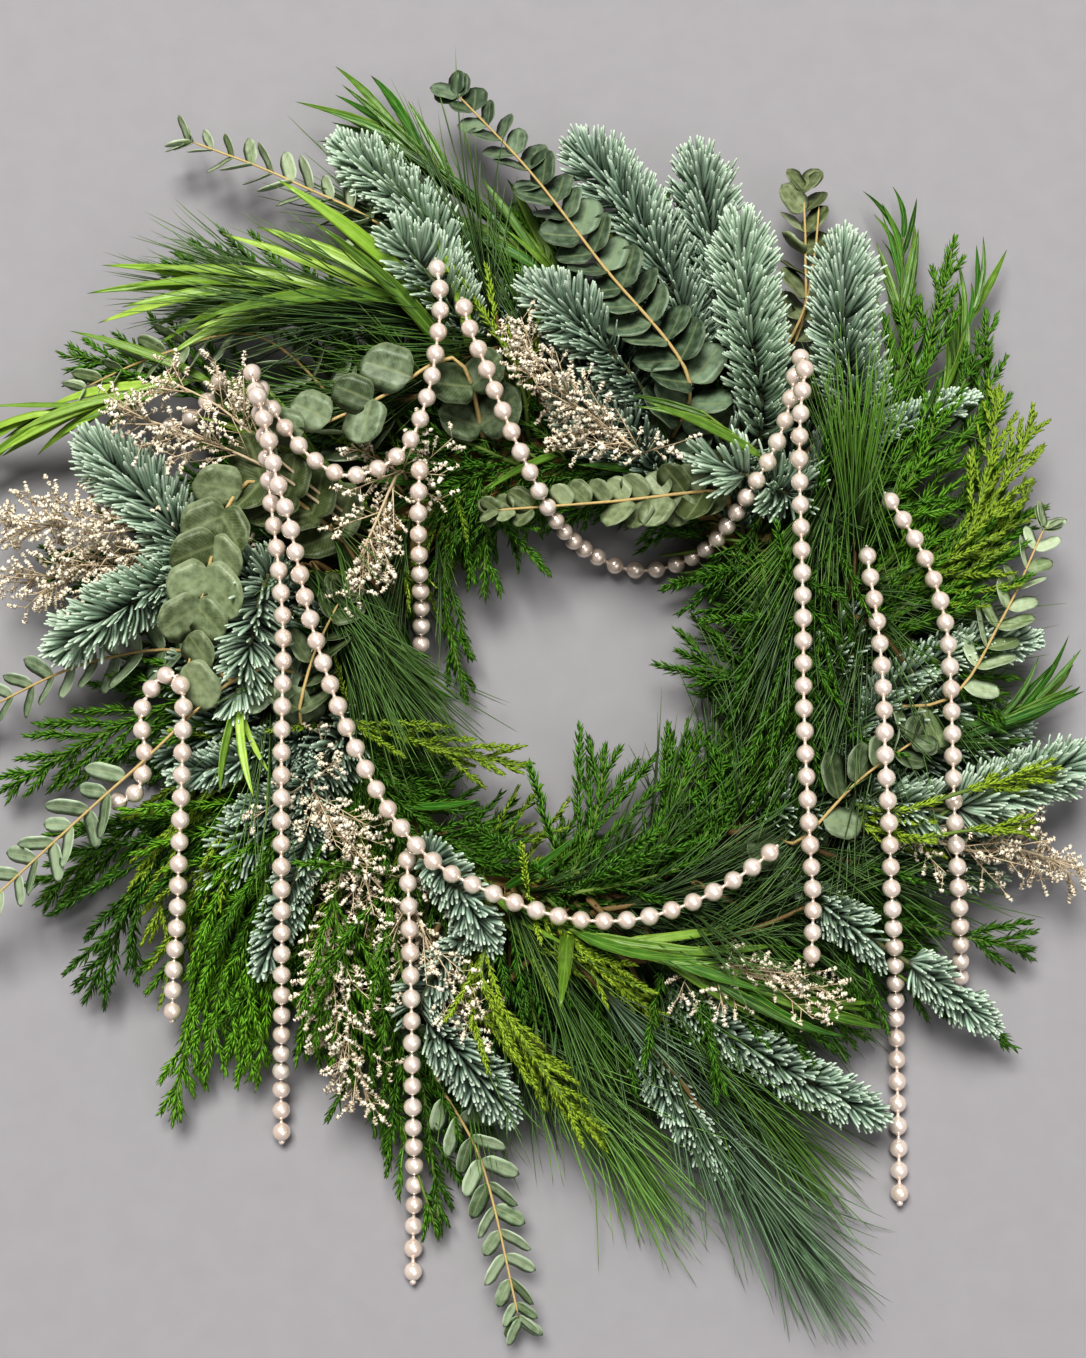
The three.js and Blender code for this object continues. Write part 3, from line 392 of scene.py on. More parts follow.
def needle_paint(name, dark, light, yellow, tip, roughness, foot):
    """Needles: dark and light ones, a yellower hue, painted shade at the foot, and tips of their own.
    """
    paint = Paint(name, roughness, Specular_IOR_Level=0.45)
    base = paint.mix(paint.total(paint.random, paint.random, paint.noise(60, 1), 0.4), dark, light)
    base = paint.mix(paint.times(paint.hue, paint.ramp(paint.along, -0.5, 1.0)), base, yellow)
    base = paint.mix(paint.times(paint.ramp(paint.along, 0.75, 1.0), 0.6), base, tip)
    # Painted shade: each needle darkens towards its foot by the stem, down to the share `foot` of its
    # colour there.
    painted_foot_shade = paint.math("ADD", paint.times(paint.ramp(paint.along, 0.0, 0.6), 1 - foot), foot)
    base = paint.mix(1.0, base, painted_foot_shade, "MULTIPLY")
    streak = paint.noise(900, 1)
    return paint.finish(paint.mix(paint.times(streak, 0.25), base, tip), streak, 0.15)


def leaf_paint(name, dark, light, yellow, rim, vein, roughness=0.42, veins=14, mottle=220):
    """Leaves: mottled, with a midrib, side veins and a rim."""
    paint = Paint(name, roughness, Specular_IOR_Level=0.4)
    mottled = paint.total(paint.noise(mottle, 4), 1.3, paint.random, 0.8)
    base = paint.mix(paint.ramp(mottled, 0.55, 1.5), dark, light)
    base = paint.mix(paint.hue, base, paint.mix(paint.ramp(mottled, 0.6, 1.7), yellow, rim))
    slant = paint.total(paint.along, veins, paint.across, -0.35 * veins)
    side_veins = paint.times(paint.ramp(paint.math("PINGPONG", slant, 0.5), 0.38, 0.5), 0.35)
    midrib = paint.math("SUBTRACT", 1.0, paint.ramp(paint.across, 0.0, 0.14))
    marks = paint.math("MAXIMUM", side_veins, paint.times(midrib, 0.5))
    edge = paint.times(paint.ramp(paint.across, 0.82, 1.0), 0.7)
    return paint.finish(paint.mix(edge, paint.mix(marks, base, vein), rim), marks, 0.25, 0.0006)


def grainy_paint(name, dark, light, roughness, grain, grain_share, random_share,
                 strength=0.3, distance=0.0004, bump=None, **settings):
    """Two colours, mixed by a grain and from one body to the next, with a bump."""
    paint = Paint(name, roughness, **settings)
    coarse = paint.noise(*grain)
    share = paint.total(coarse, grain_share, paint.random, random_share)
    height = paint.noise(*bump) if bump else coarse
    return paint.finish(paint.mix(share, dark, light), height, strength, distance)


def bark_paint(name, dark, light):
    return grainy_paint(name, dark, light, 0.75, (700, 3, (1, 1, 0.3)), 0.8, 0.3, 0.5, 0.0005)


def petal_paint():
    """Off-white, with a brown foot."""
    paint = Paint("dried_petals", 0.7)
    share = paint.total(paint.random, 0.8, paint.noise(300, 1), 0.3)
    base = paint.mix(share, "#d8ccb2", "#faf4e4")
    base = paint.mix(paint.ramp(paint.along, 0.6, 0.0), base, "#b08e74")
    return paint.finish(base, paint.noise(2500, 1), 0.2)


BARK = bark_paint("bark", "#54422a", "#8c764e")
TAN_STEM = bark_paint("tan_stem", "#a08858", "#ceb886")
GREY_STEM = bark_paint("grey_stem", "#a8967a", "#deceb2")
FIR_STEM = bark_paint("fir_stem", "#464c32", "#80825c")
GREEN_STEM = bark_paint("green_stem", "#546830", "#7e924a")
FIR_NEEDLES = needle_paint(
    "fir_needles", "#26422c", "#aac4b2", "#bad0b6", "#dce8d6", 0.4, 0.2)
PINE_NEEDLES = needle_paint(
    "pine_needles", "#081b09", "#5a7554", "#6a9630", "#8aa662", 0.38, 0.2)
SOFT_PINE_NEEDLES = needle_paint(
    "soft_pine_needles", "#122c1a", "#809a80", "#749e34", "#a0b892", 0.38, 0.3)
CEDAR_NEEDLES = needle_paint(
    "cedar_needles", "#0e2e0a", "#467a24", "#84ba32", "#8ab846", 0.4, 0.4)
CYPRESS_NEEDLES = needle_paint(
    "cypress_needles", "#426218", "#78982e", "#a6be3e", "#bccc5c", 0.5, 0.5)
ROUND_LEAVES = leaf_paint(
    "eucalyptus_leaves", "#3c4e3c", "#7e9078", "#4c5630", "#9aa482", "#8c946e")
SLENDER_LEAVES = leaf_paint(
    "slender_leaves", "#5c725a", "#a0b296", "#76844e", "#c4ceb2", "#b8bc92", veins=10)
LANCE_LEAVES = leaf_paint(
    "lance_leaves", "#123a10", "#366822", "#82a43a", "#aec662", "#94b058", 0.34, 3, 160)
PETALS = petal_paint()


# ---- Needles and leaves, many at once ----
def held_in(base, direction, length, curl):
    """The curl, changed so that no tip leaves the wreath's box."""
    tips = base + direction * length[:, None] + curl
    return curl + np.clip(tips, LOWEST, HIGHEST) - tips


def reaching(base, direction, length, curl, along):
    """The points that lie these shares along each needle or leaf."""
    run = direction[:, None] * (length[:, None] * along)[..., None]
    points = base[:, None] + run + curl[:, None] * (along**2)[:, None]
    points[..., 2] = np.maximum(points[..., 2], LOWEST[2])
    return points


def laid_out(kept, along, *facts):
    """For each needle or leaf that is kept: the centres along it, its tip, and the ways across it
    and up from it."""
    base, direction, face, length, curl = (values[kept] for values in facts)
    centres = reaching(base, direction, length, curl, along)
    tips = reaching(base, direction, length, curl, np.ones(1))[:, 0]
    across = unit(np.cross(face, direction))
    return centres, tips, across[:, None, None], np.cross(direction, across)[:, None, None]


NEEDLE = np.array([(0.0, 0.6), (0.2, 1.0), (0.6, 1.05), (0.9, 0.95), (0.98, 0.6)])
LONG_NEEDLE = np.array([(0.0, 0.8), (0.3, 1.0), (0.65, 0.9), (0.9, 0.6)])
SHORT_NEEDLE = np.array([(0.0, 0.9), (0.45, 1.0)])


def blades(sheaf, base, direction, face, length, curl, rng, look, hue):
    """Needles: slender bodies with flat or three-cornered sections."""
    along, share = look.profile.T
    curl = held_in(base, direction, length, curl)
    probes = np.linspace(0.1, 1, 3 + int(length.max() / 4))
    kept = ROOM.free(reaching(base, direction, length, curl, probes))
    centres, tips, across, top = laid_out(kept, along, base, direction, face, length, curl)
    angle = 2 * np.pi * np.arange(look.corners) / look.corners
    grown = (0.85 + 0.3 * rng.random(len(tips)))[:, None] * share
    half_width, half_thick = (
        (grown * measure / 2)[..., None, None] for measure in (look.width, look.thick))
    rings = across * np.cos(angle)[:, None] * half_width
    rings = rings + top * np.sin(angle)[:, None] * half_thick
    tone = tones(rng.random(len(tips)), along, np.abs(np.cos(angle)), hue)
    sweep(sheaf, centres, rings, tips, tone)


FOOT = 0.25  # the share of a stem over which its needles grow to their full length
FOOT_LENGTH = 0.55  # how long they are at its start


def brush(sheaf, line, look, rng, start, hue, scale, share):
    """Needles round a line, from `start` to its tip."""
    span = line.length - start
    tufts = max(4, int(span * look.density * share))
    along = start + span * (np.arange(tufts) + rng.random(tufts)) / tufts
    along = np.repeat(along, look.tuft)
    count = len(along)
    base, tangent, upper, level = line.framed(along)
    side = 2 * rng.random(tufts) - 1
    side = np.sign(side) * (look.parting + (1 - look.parting) * np.abs(side))
    turn = np.repeat(math.radians(look.spread) * side, look.tuft)
    turn = turn + (0.5 * jitter(rng, count) if look.tuft > 1 else 0)
    radial = turned(upper, level, turn)
    ending = np.clip(1 - (line.length - along) / look.tip, 0, 1)
    lean = math.radians(look.lean) * (1 - look.close * ending)
    direction = turned(tangent, radial, lean * (1 + look.ragged * jitter(rng, count)))
    direction = unit(direction + look.rise * UP)
    beginning = np.clip((along - start) / (FOOT * span), FOOT_LENGTH, 1)
    length = look.length * scale * beginning * (1 - look.short * ending)
    length = length * (0.84 + 0.3 * rng.random(count))
    curl = tangent * look.forward + UP * look.lift + look.wild * jitter(rng, (count, 3))
    face = UP * 0.8 + radial * 0.6 + 0.5 * jitter(rng, (count, 3))
    blades(sheaf, base, direction, face, length, curl * length[:, None], rng, look, hue)


SECTION_X = np.array([-1, -0.5, 0, 0.5, 1, 0.5, 0, -0.5])
SECTION_UNDER = np.array([0, 0, 0, 0, 0, 1, 1, 1])


def leaves(sheaf, base, direction, face, length, curl, rng, look, hue):
    """Thin leaves with a folded midrib, cupped and a little waved."""
    along, share = look.outline.T
    width = look.width * length / look.length
    curl = held_in(base, direction, length, curl)
    middle = reaching(base, direction, length, curl, np.linspace(0.1, 1, 3 + int(length.max() / 6)))
    edge = (unit(np.cross(face, direction)) * (0.35 * width)[:, None])[:, None]
    inner = middle[:, 1:-1]
    kept = ROOM.free(np.concatenate([middle, inner + edge, inner - edge], axis=1))
    centres, tips, across, top = laid_out(kept, along, base, direction, face, length, curl)
    half = (width[kept][:, None] * share / 2)[..., None]
    bent = np.abs(SECTION_X)
    start = 6.3 * rng.random(len(tips))[:, None]
    wave = np.sin(along * look.waves * 2 * np.pi + start) * look.waviness
    rise = (look.fold * bent + look.cup * SECTION_X**2 + wave[..., None] * bent) * half
    rise = rise - SECTION_UNDER * look.thick
    rings = across * (SECTION_X * half)[..., None] + top * rise[..., None]
    rings[..., 2] += np.maximum(LOWEST[2] - (centres[:, :, None] + rings)[..., 2], 0)
    hue = hue[kept] if np.ndim(hue) else hue
    sweep(sheaf, centres, rings, tips, tones(rng.random(len(tips)), along, bent, hue))


def outline(width_at, stations):
    along = np.linspace(0, 1, stations + 2)[:-1] ** 1.15
    return np.array([(t, max(0.07, width_at(t))) for t in along])


ROUND_LEAF = outline(lambda t: min(1, 1.12 * (4 * t * (1 - t)) ** 0.52 * (1.08 - 0.16 * t)), 10)
LANCE_LEAF = outline(lambda t: min(1, 0.35 + 5 * t, ((1 - t) / 0.42) ** 0.8), 9)


# ---- How each kind of stem grows ----
# Every grower takes the same facts, whether it needs them all or not: where the leaves start along
# the stem, their hue and look, what share of them grows, and how long they are.
STEEPEST = 0.4  # how steeply a side stem rises at most


def side_lines(line, start, habit, rng):
    """Side stems, left and right in turn, mostly in the spray's own plane."""
    found = []
    end = line.length - habit.margin
    reach = min(habit.longest, habit.most * (line.length - start))
    side = 1 if rng.random() < 0.5 else -1
    for along in np.arange(start, end, habit.step):
        place, tangent, upper, level = line.framed(along + habit.step * 0.5 * jitter(rng))
        side = -side
        turn = habit.flat * math.pi * jitter(rng)
        out = level * side * math.cos(turn) + upper * math.sin(turn)
        lean = math.radians(habit.lean) * (0.8 + 0.4 * rng.random())
        heading = unit(tangent * math.cos(lean) + out * math.sin(lean))
        heading[2] = min(heading[2], STEEPEST)
        heading = unit(heading)
        part = (along - start) / max(1.0, end - start)
        length = (reach * (1 - part) ** habit.power + habit.least) * (0.8 + 0.4 * rng.random())
        bend = heading * 0.22 * length - UP * habit.sag * length - out * 0.08 * length
        side_line = arc(place, heading, length, bend)
        if ROOM.free(side_line.points[None, 1:])[0]:
            found.append(side_line)
    return found


def grow_needles(sheaf, line, start, rng, hue, look, share, scale):
    """A stem with needles round it, and side stems with shorter ones where its kind has them."""
    tube(sheaf, line, *look.stem, rng)
    share = look.full * share
    brush(sheaf, line, look, rng, start + look.bare * (line.length - start), hue, scale, share)
    habit = look.sides
    for side in side_lines(line, start, habit, rng) if habit else []:
        tube(sheaf, side, 0.9, habit.tip_radius, rng, corners=4, step=12, material=0, hue=hue)
        brush(sheaf, side, look, rng, habit.bare, hue, habit.scale, share)


def grow_pairs(sheaf, line, start, rng, hue, look, share, scale):
    """Leaves in crosswise pairs, as on eucalyptus."""
    tube(sheaf, line, look.stem, 0.55 * look.stem, rng)
    along = np.arange(start, line.length - 3, look.step * scale)
    along = np.append(along, [line.length - 2.5, line.length - 1])
    pairs = len(along)
    part = np.repeat((along - start) / (line.length - start), 2)
    place, tangent, upper, level = line.framed(np.repeat(along, 2))
    turn = np.repeat(np.arange(pairs) * math.pi / 2 + 0.35 + 0.5 * rng.random(pairs), 2)
    turn = turn + np.tile([0, math.pi], pairs) + 0.3 * jitter(rng, 2 * pairs)
    sideways = level * (np.cos(turn) + 0.7 * np.sign(np.cos(turn)))[:, None]
    radial = unit(upper * (look.flat * np.sin(turn))[:, None] + sideways)
    lean = math.radians(look.lean) * (1 - 0.35 * part) * (0.85 + 0.3 * rng.random(2 * pairs))
    direction = turned(tangent, radial, lean)
    face = unit(tangent + look.facing * UP + look.loose * jitter(rng, (2 * pairs, 3)))
    length = scale * look.length * (1 - look.narrow * part**1.5)
    length = length * (0.82 + 0.3 * rng.random(2 * pairs))
    curl = (face * 0.1 - UP * 0.08 + tangent * 0.1) * length[:, None]
    place = place + look.lifted * UP - look.back * direction
    leaves(sheaf, place, unit(direction), face, length, curl, rng, look, hue)


def grow_blades(sheaf, line, start, rng, hue, look, share, scale):
    """Long leaves that sweep along the stem."""
    tube(sheaf, line, look.stem, 0.6 * look.stem, rng)
    count = int((line.length - start) / look.step * share)
    along = start + (line.length - start) * (np.arange(count) + rng.random(count)) / count
    part = (along - start) / (line.length - start)
    place, tangent, upper, level = line.framed(along)
    radial = turned(level, upper * 0.6, GOLDEN_TURN * np.arange(count))
    lean = math.radians(look.lean) * (0.5 + 1.4 * rng.random(count))
    direction = unit(turned(tangent, radial, lean))
    face = unit(UP + 0.7 * jitter(rng, (count, 3)))
    length = scale * look.length * (1 - look.narrow * part) * (0.7 + 0.45 * rng.random(count))
    curl = level * look.sweep + 0.26 * jitter(rng, (count, 3)) - 0.1 * UP
    hues = np.clip(hue + 0.8 * (rng.random(count) - 0.6), 0, 1)
    leaves(sheaf, place, direction, face, length, curl * length[:, None], rng, look, hues)


def florets(sheaf, place, axis, size, rng):
    """Small three-lobed flowers."""
    place = np.maximum(place, [-np.inf, -np.inf, LOWEST[2] + 3.5])
    lobes = np.tile([1.0, 0.6], 3)
    first = unit(np.cross(axis, unit(jitter(rng, (len(place), 3)))))
    low = circle(first, np.cross(axis, first), len(lobes))
    rings = np.stack([low * (0.3 * size)[:, None, None], low * (size[:, None] * lobes)[..., None]], 1)
    centres = np.stack([place, place + axis * (0.75 * size)[:, None]], axis=1)
    tips = place + axis * (0.5 * size)[:, None]
    kept = ROOM.free(centres)
    tone = tones(rng.random(len(place)), np.array([0.0, 1.0]), lobes, HALF)
    sweep(sheaf, centres[kept], rings[kept], tips[kept], tone[kept])


def grow_florets(sheaf, line, start, rng, hue, look, share, scale):
    """Twigs on branches, with florets at their ends."""
    tube(sheaf, line, *look.stem, rng)
    for branch in side_lines(line, start, look.branches, rng):
        tube(sheaf, branch, 0.6, 0.35, rng, corners=3, step=12)
        for twig in side_lines(branch, 4, look.twigs, rng):
            tube(sheaf, twig, 0.35, 0.25, rng, corners=3, step=12)
            count = rng.integers(8, 14)
            place, tangent = twig.at(twig.length * (0.45 + 0.6 * rng.random(count)))
            axis = unit(tangent + 1.4 * jitter(rng, (count, 3)) + 0.3 * UP)
            florets(sheaf, place + axis * 0.6, axis, 0.95 + 0.6 * rng.random(count), rng)


NEEDLED = SimpleNamespace(
    grow=grow_needles, tuft=1, corners=3, spread=180, profile=SHORT_NEEDLE, short=0.4, parting=0.0,
    rise=0.02, lift=0.0, bare=0.0, full=1.0, sides=None)
CEDAR_SIDES = SimpleNamespace(
    step=9.0, margin=12, longest=58.0, most=0.65, least=8, power=0.7, lean=26, sag=0.06, flat=0.35,
    tip_radius=0.45, bare=2, scale=0.9)
CYPRESS_SIDES = SimpleNamespace(
    step=8.5, margin=6, longest=34, most=math.inf, least=6, power=0.6, lean=27, sag=0.02, flat=1.0,
    tip_radius=0.5, bare=1, scale=0.85)
FIR = like(
    NEEDLED, slot="fir", paints=[FIR_NEEDLES, FIR_STEM], stem=(1.9, 1.1), density=4.8, length=20,
    width=2.1, thick=1.1, corners=4, profile=NEEDLE, tip=20, lean=78, close=0.62, ragged=0.3,
    spread=114, forward=0.24, lift=0.36, wild=0.16, parting=0.06)
PINE = like(
    NEEDLED, slot="pine", paints=[PINE_NEEDLES, BARK], stem=(2.1, 1.3), bare=0.2, density=0.66,
    tuft=5, length=98, width=1.0, thick=0.75, profile=LONG_NEEDLE, tip=40, lean=16, close=0.4,
    ragged=1.3, forward=0.02, lift=-0.03, short=0.15, wild=0.36)
CEDAR = like(
    NEEDLED, slot="cedar", paints=[CEDAR_NEEDLES, GREEN_STEM], stem=(1.5, 0.7), density=1.7,
    length=7.2, width=1.4, thick=1.0, tip=12, lean=40, close=0.5, ragged=0.5, rise=0.05,
    forward=0.25, wild=0.12, sides=CEDAR_SIDES)
EUCALYPTUS = SimpleNamespace(
    grow=grow_pairs, slot="eucalyptus", paints=[ROUND_LEAVES, TAN_STEM], stem=1.2, step=13,
    length=26, width=23, thick=0.5, outline=ROUND_LEAF, fold=0.06, cup=0.1, waves=1.2,
    waviness=0.06, lean=70, flat=0.5, narrow=0.45, lifted=0.0, back=0.0, loose=0.95, facing=0.8)
BROAD = like(
    EUCALYPTUS, stem=1.5, step=17, length=30, width=30, fold=0.04, cup=0.12, waves=1.4,
    waviness=0.05, lean=68, flat=0.1, narrow=0.3, lifted=3.2, back=3.0, loose=0.45, facing=1.5)
TWIGS = SimpleNamespace(
    step=3.2, margin=0, longest=0, most=math.inf, least=8.5, power=1, lean=50, sag=0.0, flat=2.0)
KINDS = {
    "fir": FIR,
    "pine": PINE,
    "soft": like(PINE, paints=[SOFT_PINE_NEEDLES, BARK], full=0.72),
    "cedar": CEDAR,
    "open": like(CEDAR, sides=like(CEDAR_SIDES, longest=40.0, step=15.0)),
    "cypress": like(
        NEEDLED, slot="cypress", paints=[CYPRESS_NEEDLES, GREEN_STEM], stem=(1.5, 0.8), density=1.9,
        length=4.6, width=1.5, thick=1.1, tip=10, lean=42, close=0.4, ragged=0.6, rise=0.1,
        forward=0.35, lift=0.1, wild=0.1, sides=CYPRESS_SIDES),
    "eucalyptus": EUCALYPTUS,
    "slender": like(
        EUCALYPTUS, paints=[SLENDER_LEAVES, TAN_STEM], stem=1.1, length=27, width=15, fold=0.1,
        cup=0.06, waves=1.0, lean=72, flat=0.6, narrow=0.5, loose=0.5, facing=0.5),
    "broad": BROAD,
    "disc": like(BROAD, step=25, length=28, width=27, back=1.0, facing=3.0),
    "lance": SimpleNamespace(
        grow=grow_blades, slot="lance_leaf", paints=[LANCE_LEAVES, GREEN_STEM], stem=1.2, step=5.4,
        length=114, width=8.4, thick=0.55, outline=LANCE_LEAF, fold=0.3, cup=0.0, waves=1.0,
        waviness=0.06, lean=12, narrow=0.25, sweep=-0.16),
    "filler": SimpleNamespace(
        grow=grow_florets, slot="dried_filler", paints=[PETALS, GREY_STEM], stem=(1.1, 0.6),
        twigs=TWIGS, branches=like(
            TWIGS, step=3.5, margin=2, longest=26, least=8, power=0.5, lean=44, flat=1.6)),
}


# ---- Where everything grows ----
SPRAY_SEED, BETWEEN_SEED, UNDER_SEED, FORM_SEED = 100, 300, 5, 9


def route(text):
    """Points written as "x y z, x y z"."""
    return [[float(value) for value in point.split()] for point in text.split(",")]


def spray(name, *stems, kind=None, hues=(HALF,), scales=(1.0,), facing=None):
    """A spray. Its kind is its name's first word where none is given. The hues say how yellow its
    stems' leaves are, from 0 to 1, and the scales how long they are, as shares of the usual: the
    last of each counts for the stems that follow. The facing is how far eucalyptus leaves turn up."""
    kind = kind or name.split("_")[0]
    look = KINDS[kind] if facing is None else like(KINDS[kind], facing=facing)
    stems = [route(stem) for stem in stems]
    return SimpleNamespace(name=name, kind=kind, stems=stems, hues=hues, scales=scales, look=look)


# Each stem is listed from where its leaves begin to its tip; a spray's first stem runs back to the
# form, and its others fork from that one.
SPRAYS = [
    spray("fir_top_left", "-65 190 50, -80 247 55, -129 301 40", "-60 190 55, -82 218 75, -96 232 86",
          hues=[0.7], scales=[0.85, 1]),
    spray("fir_top", "62 190 50, 38 250 50, 5 300 40", "84 195 48, 77 245 45, 70 292 38",
          "40 150 60, 8 182 80, -20 205 75", hues=[0.35]),
    spray("fir_top_big", "102 130 55, 95 182 80, 90 240 75", "116 96 60, 94 103 74, 70 113 70",
          hues=[0.8]),
    spray("fir_top_right", "152 134 55, 146 180 76, 147 231 67", "174 135 50, 198 145 48, 219 155 42",
          scales=[1, 0.52]),
    spray("fir_left_upper", "-200 60 60, -230 92 62, -264 124 50"),
    spray("fir_left", "-215 50 55, -246 32 60, -277 14 48", "-165 50 70, -172 17 76, -182 -20 70",
          hues=[0.6], scales=[0.95]),
    spray("fir_left_low", "-154 -38 55, -180 -50 60, -212 -57 55", "-147 -65 58, -180 -78 55",
          "-142 -82 55, -152 -118 52, -167 -158 45", hues=[0.1], scales=[0.62]),
    spray("fir_bottom", "-77 -103 62, -61 -120 66, -46 -145 55",
          "-82 -180 50, -64 -202 50, -38 -233 35", hues=[0.1], scales=[0.7, 0.8]),
    spray("fir_bottom_right", "60 -176 40, 104 -208 35, 160 -237 24", "42 -205 32, 88 -270 20",
          hues=[0.15], scales=[0.72, 0.7]),
    spray("fir_right_low", "142 -134 50, 184 -160 40, 222 -188 26", hues=[0.2], scales=[0.66]),
    spray("fir_right", "190 -76 55, 230 -64 46, 277 -46 35", "175 -5 55, 210 12 50, 250 20 34",
          hues=[0.5], scales=[0.9, 0.62]),
    spray("eucalyptus_top", "62 155 76, 14 222 76, -25 280 62, -67 333 45", hues=[0.05], facing=1.2),
    spray("eucalyptus_top_right", "126 195 42, 130 240 40, 130 280 35", hues=[1], facing=0.7),
    spray("eucalyptus_top_left", "-92 238 50, -160 282 42, -220 310 32", kind="slender", facing=0.5),
    spray("eucalyptus_left_top", "-173 186 58, -230 176 55, -273 160 45", kind="slender", facing=0.5),
    spray("eucalyptus_disc", "-65 167 80, -105 144 84, -148 126 76", kind="disc", hues=[0.45]),
    spray("eucalyptus_left", "-175 100 76, -200 27 84, -210 -50 70", kind="broad", hues=[0.8]),
    spray("eucalyptus_rim", "79 98 60, 20 91 66, -44 87 62", hues=[0.85], facing=1.6, scales=[0.8]),
    spray("eucalyptus_left_low", "-173 -4 76, -236 -56 66, -325 -134 45",
          "-215 12 50, -270 6 38, -328 -18 24", kind="slender", hues=[0.15], facing=1),
    spray("eucalyptus_bottom", "-80 -197 38, -51 -260 26, -30 -345 16", kind="slender", hues=[0.2],
          facing=1.1),
    spray("eucalyptus_right", "197 -18 66, 230 27 60, 258 82 48", kind="slender", facing=0.9),
    spray("pine_bottom", "-8 -145 55, 55 -218 42, 100 -282 26", "-40 -176 42, -3 -213 34, 16 -240 26",
          kind="soft", hues=[0.1, 0.9]),
    spray("pine_right", "147 36 62, 149 76 76, 149 100 72", "146 36 60, 135 6 56, 125 -16 48",
          hues=[0.85]),
    spray("pine_left", "-149 59 60, -130 32 58, -118 4 50", hues=[0.25], scales=[0.85]),
    spray("pine_top_left", "-60 188 60, -123 198 68, -165 208 60", hues=[0.15]),
    spray("pine_low_right", "23 -155 52, 85 -142 58, 130 -124 55", hues=[0.35]),
    spray("cedar_bottom_left", "-176 -96 40, -202 -154 32, -217 -240 18",
          "-166 -107 42, -180 -165 36, -174 -216 22", hues=[0.95]),
    spray("cedar_left", "-199 -10 40, -255 -30 32, -315 -61 20",
          "-205 -58 34, -254 -89 26, -294 -122 16", hues=[0.35]),
    spray("cedar_right_top", "183 131 42, 198 188 44, 215 250 35", "206 90 42, 228 143 40, 232 208 30",
          "195 60 40, 235 82 38, 262 96 30", kind="open", hues=[0.35]),
    spray("cedar_hole_bottom", "-3 -113 46, 12 -74 42, 16 -40 35", "34 -107 46, 56 -64 42, 68 -28 35",
          hues=[0.2]),
    spray("cedar_hole_right", "123 -24 38, 91 -2 32, 58 16 24", hues=[0.15]),
    spray("cedar_hole_top", "-68 98 42, -72 44 30, -60 -10 18", "-52 97 44, -50 45 34", kind="open",
          hues=[0.3]),
    spray("cedar_bottom", "-132 -138 38, -105 -208 30, -74 -300 16", hues=[0.35]),
    spray("cedar_low_right", "148 -123 42, 192 -138 32, 248 -148 22", hues=[0.1]),
    spray("cypress_left_low", "-192 -48 48, -218 -85 44, -241 -122 35",
          "-181 -69 46, -207 -123 42, -224 -180 28", hues=[0.6]),
    spray("cypress_inner_left", "-121 -28 58, -78 -41 58, -28 -51 50", hues=[0.45]),
    spray("cypress_bottom", "-60 -170 56, -24 -208 50, 17 -250 35",
          "-19 -150 58, 13 -161 58, 47 -188 50", hues=[0.85]),
    spray("cypress_right_top", "211 73 50, 240 113 48, 256 147 38"),
    spray("cypress_right", "173 -87 58, 211 -70 56, 261 -56 48", hues=[0.7]),
    spray("lance_top_left", "-74 196 70, -133 206 78, -197 212 68", hues=[0.8]),
    spray("lance_left", "-200 160 58, -257 152 50, -310 144 36", hues=[0.75], scales=[0.7]),
    spray("lance_top", "9 195 42, -42 252 45, -102 315 36", hues=[0.2], scales=[0.8]),
    spray("lance_right_top", "176 155 42, 182 201 44, 186 252 32", hues=[0.15], scales=[0.55]),
    spray("lance_bottom", "-3 -140 68, 54 -156 68, 118 -180 55", hues=[0.3], scales=[0.8]),
    spray("filler_left", "-231 77 60, -276 80 52, -315 87 40", "-227 62 52, -266 57 46, -305 52 34"),
    spray("filler_top", "35 117 70, -8 149 78, -33 186 72"),
    spray("filler_inner_left", "-95 108 66, -110 73 70, -127 37 64"),
    spray("filler_bottom", "-131 -134 50, -123 -176 48, -111 -232 30",
          "-82 -137 60, -72 -166 58, -51 -194 50"),
    spray("filler_right", "207 -96 48, 240 -96 44, 272 -106 32"),
]

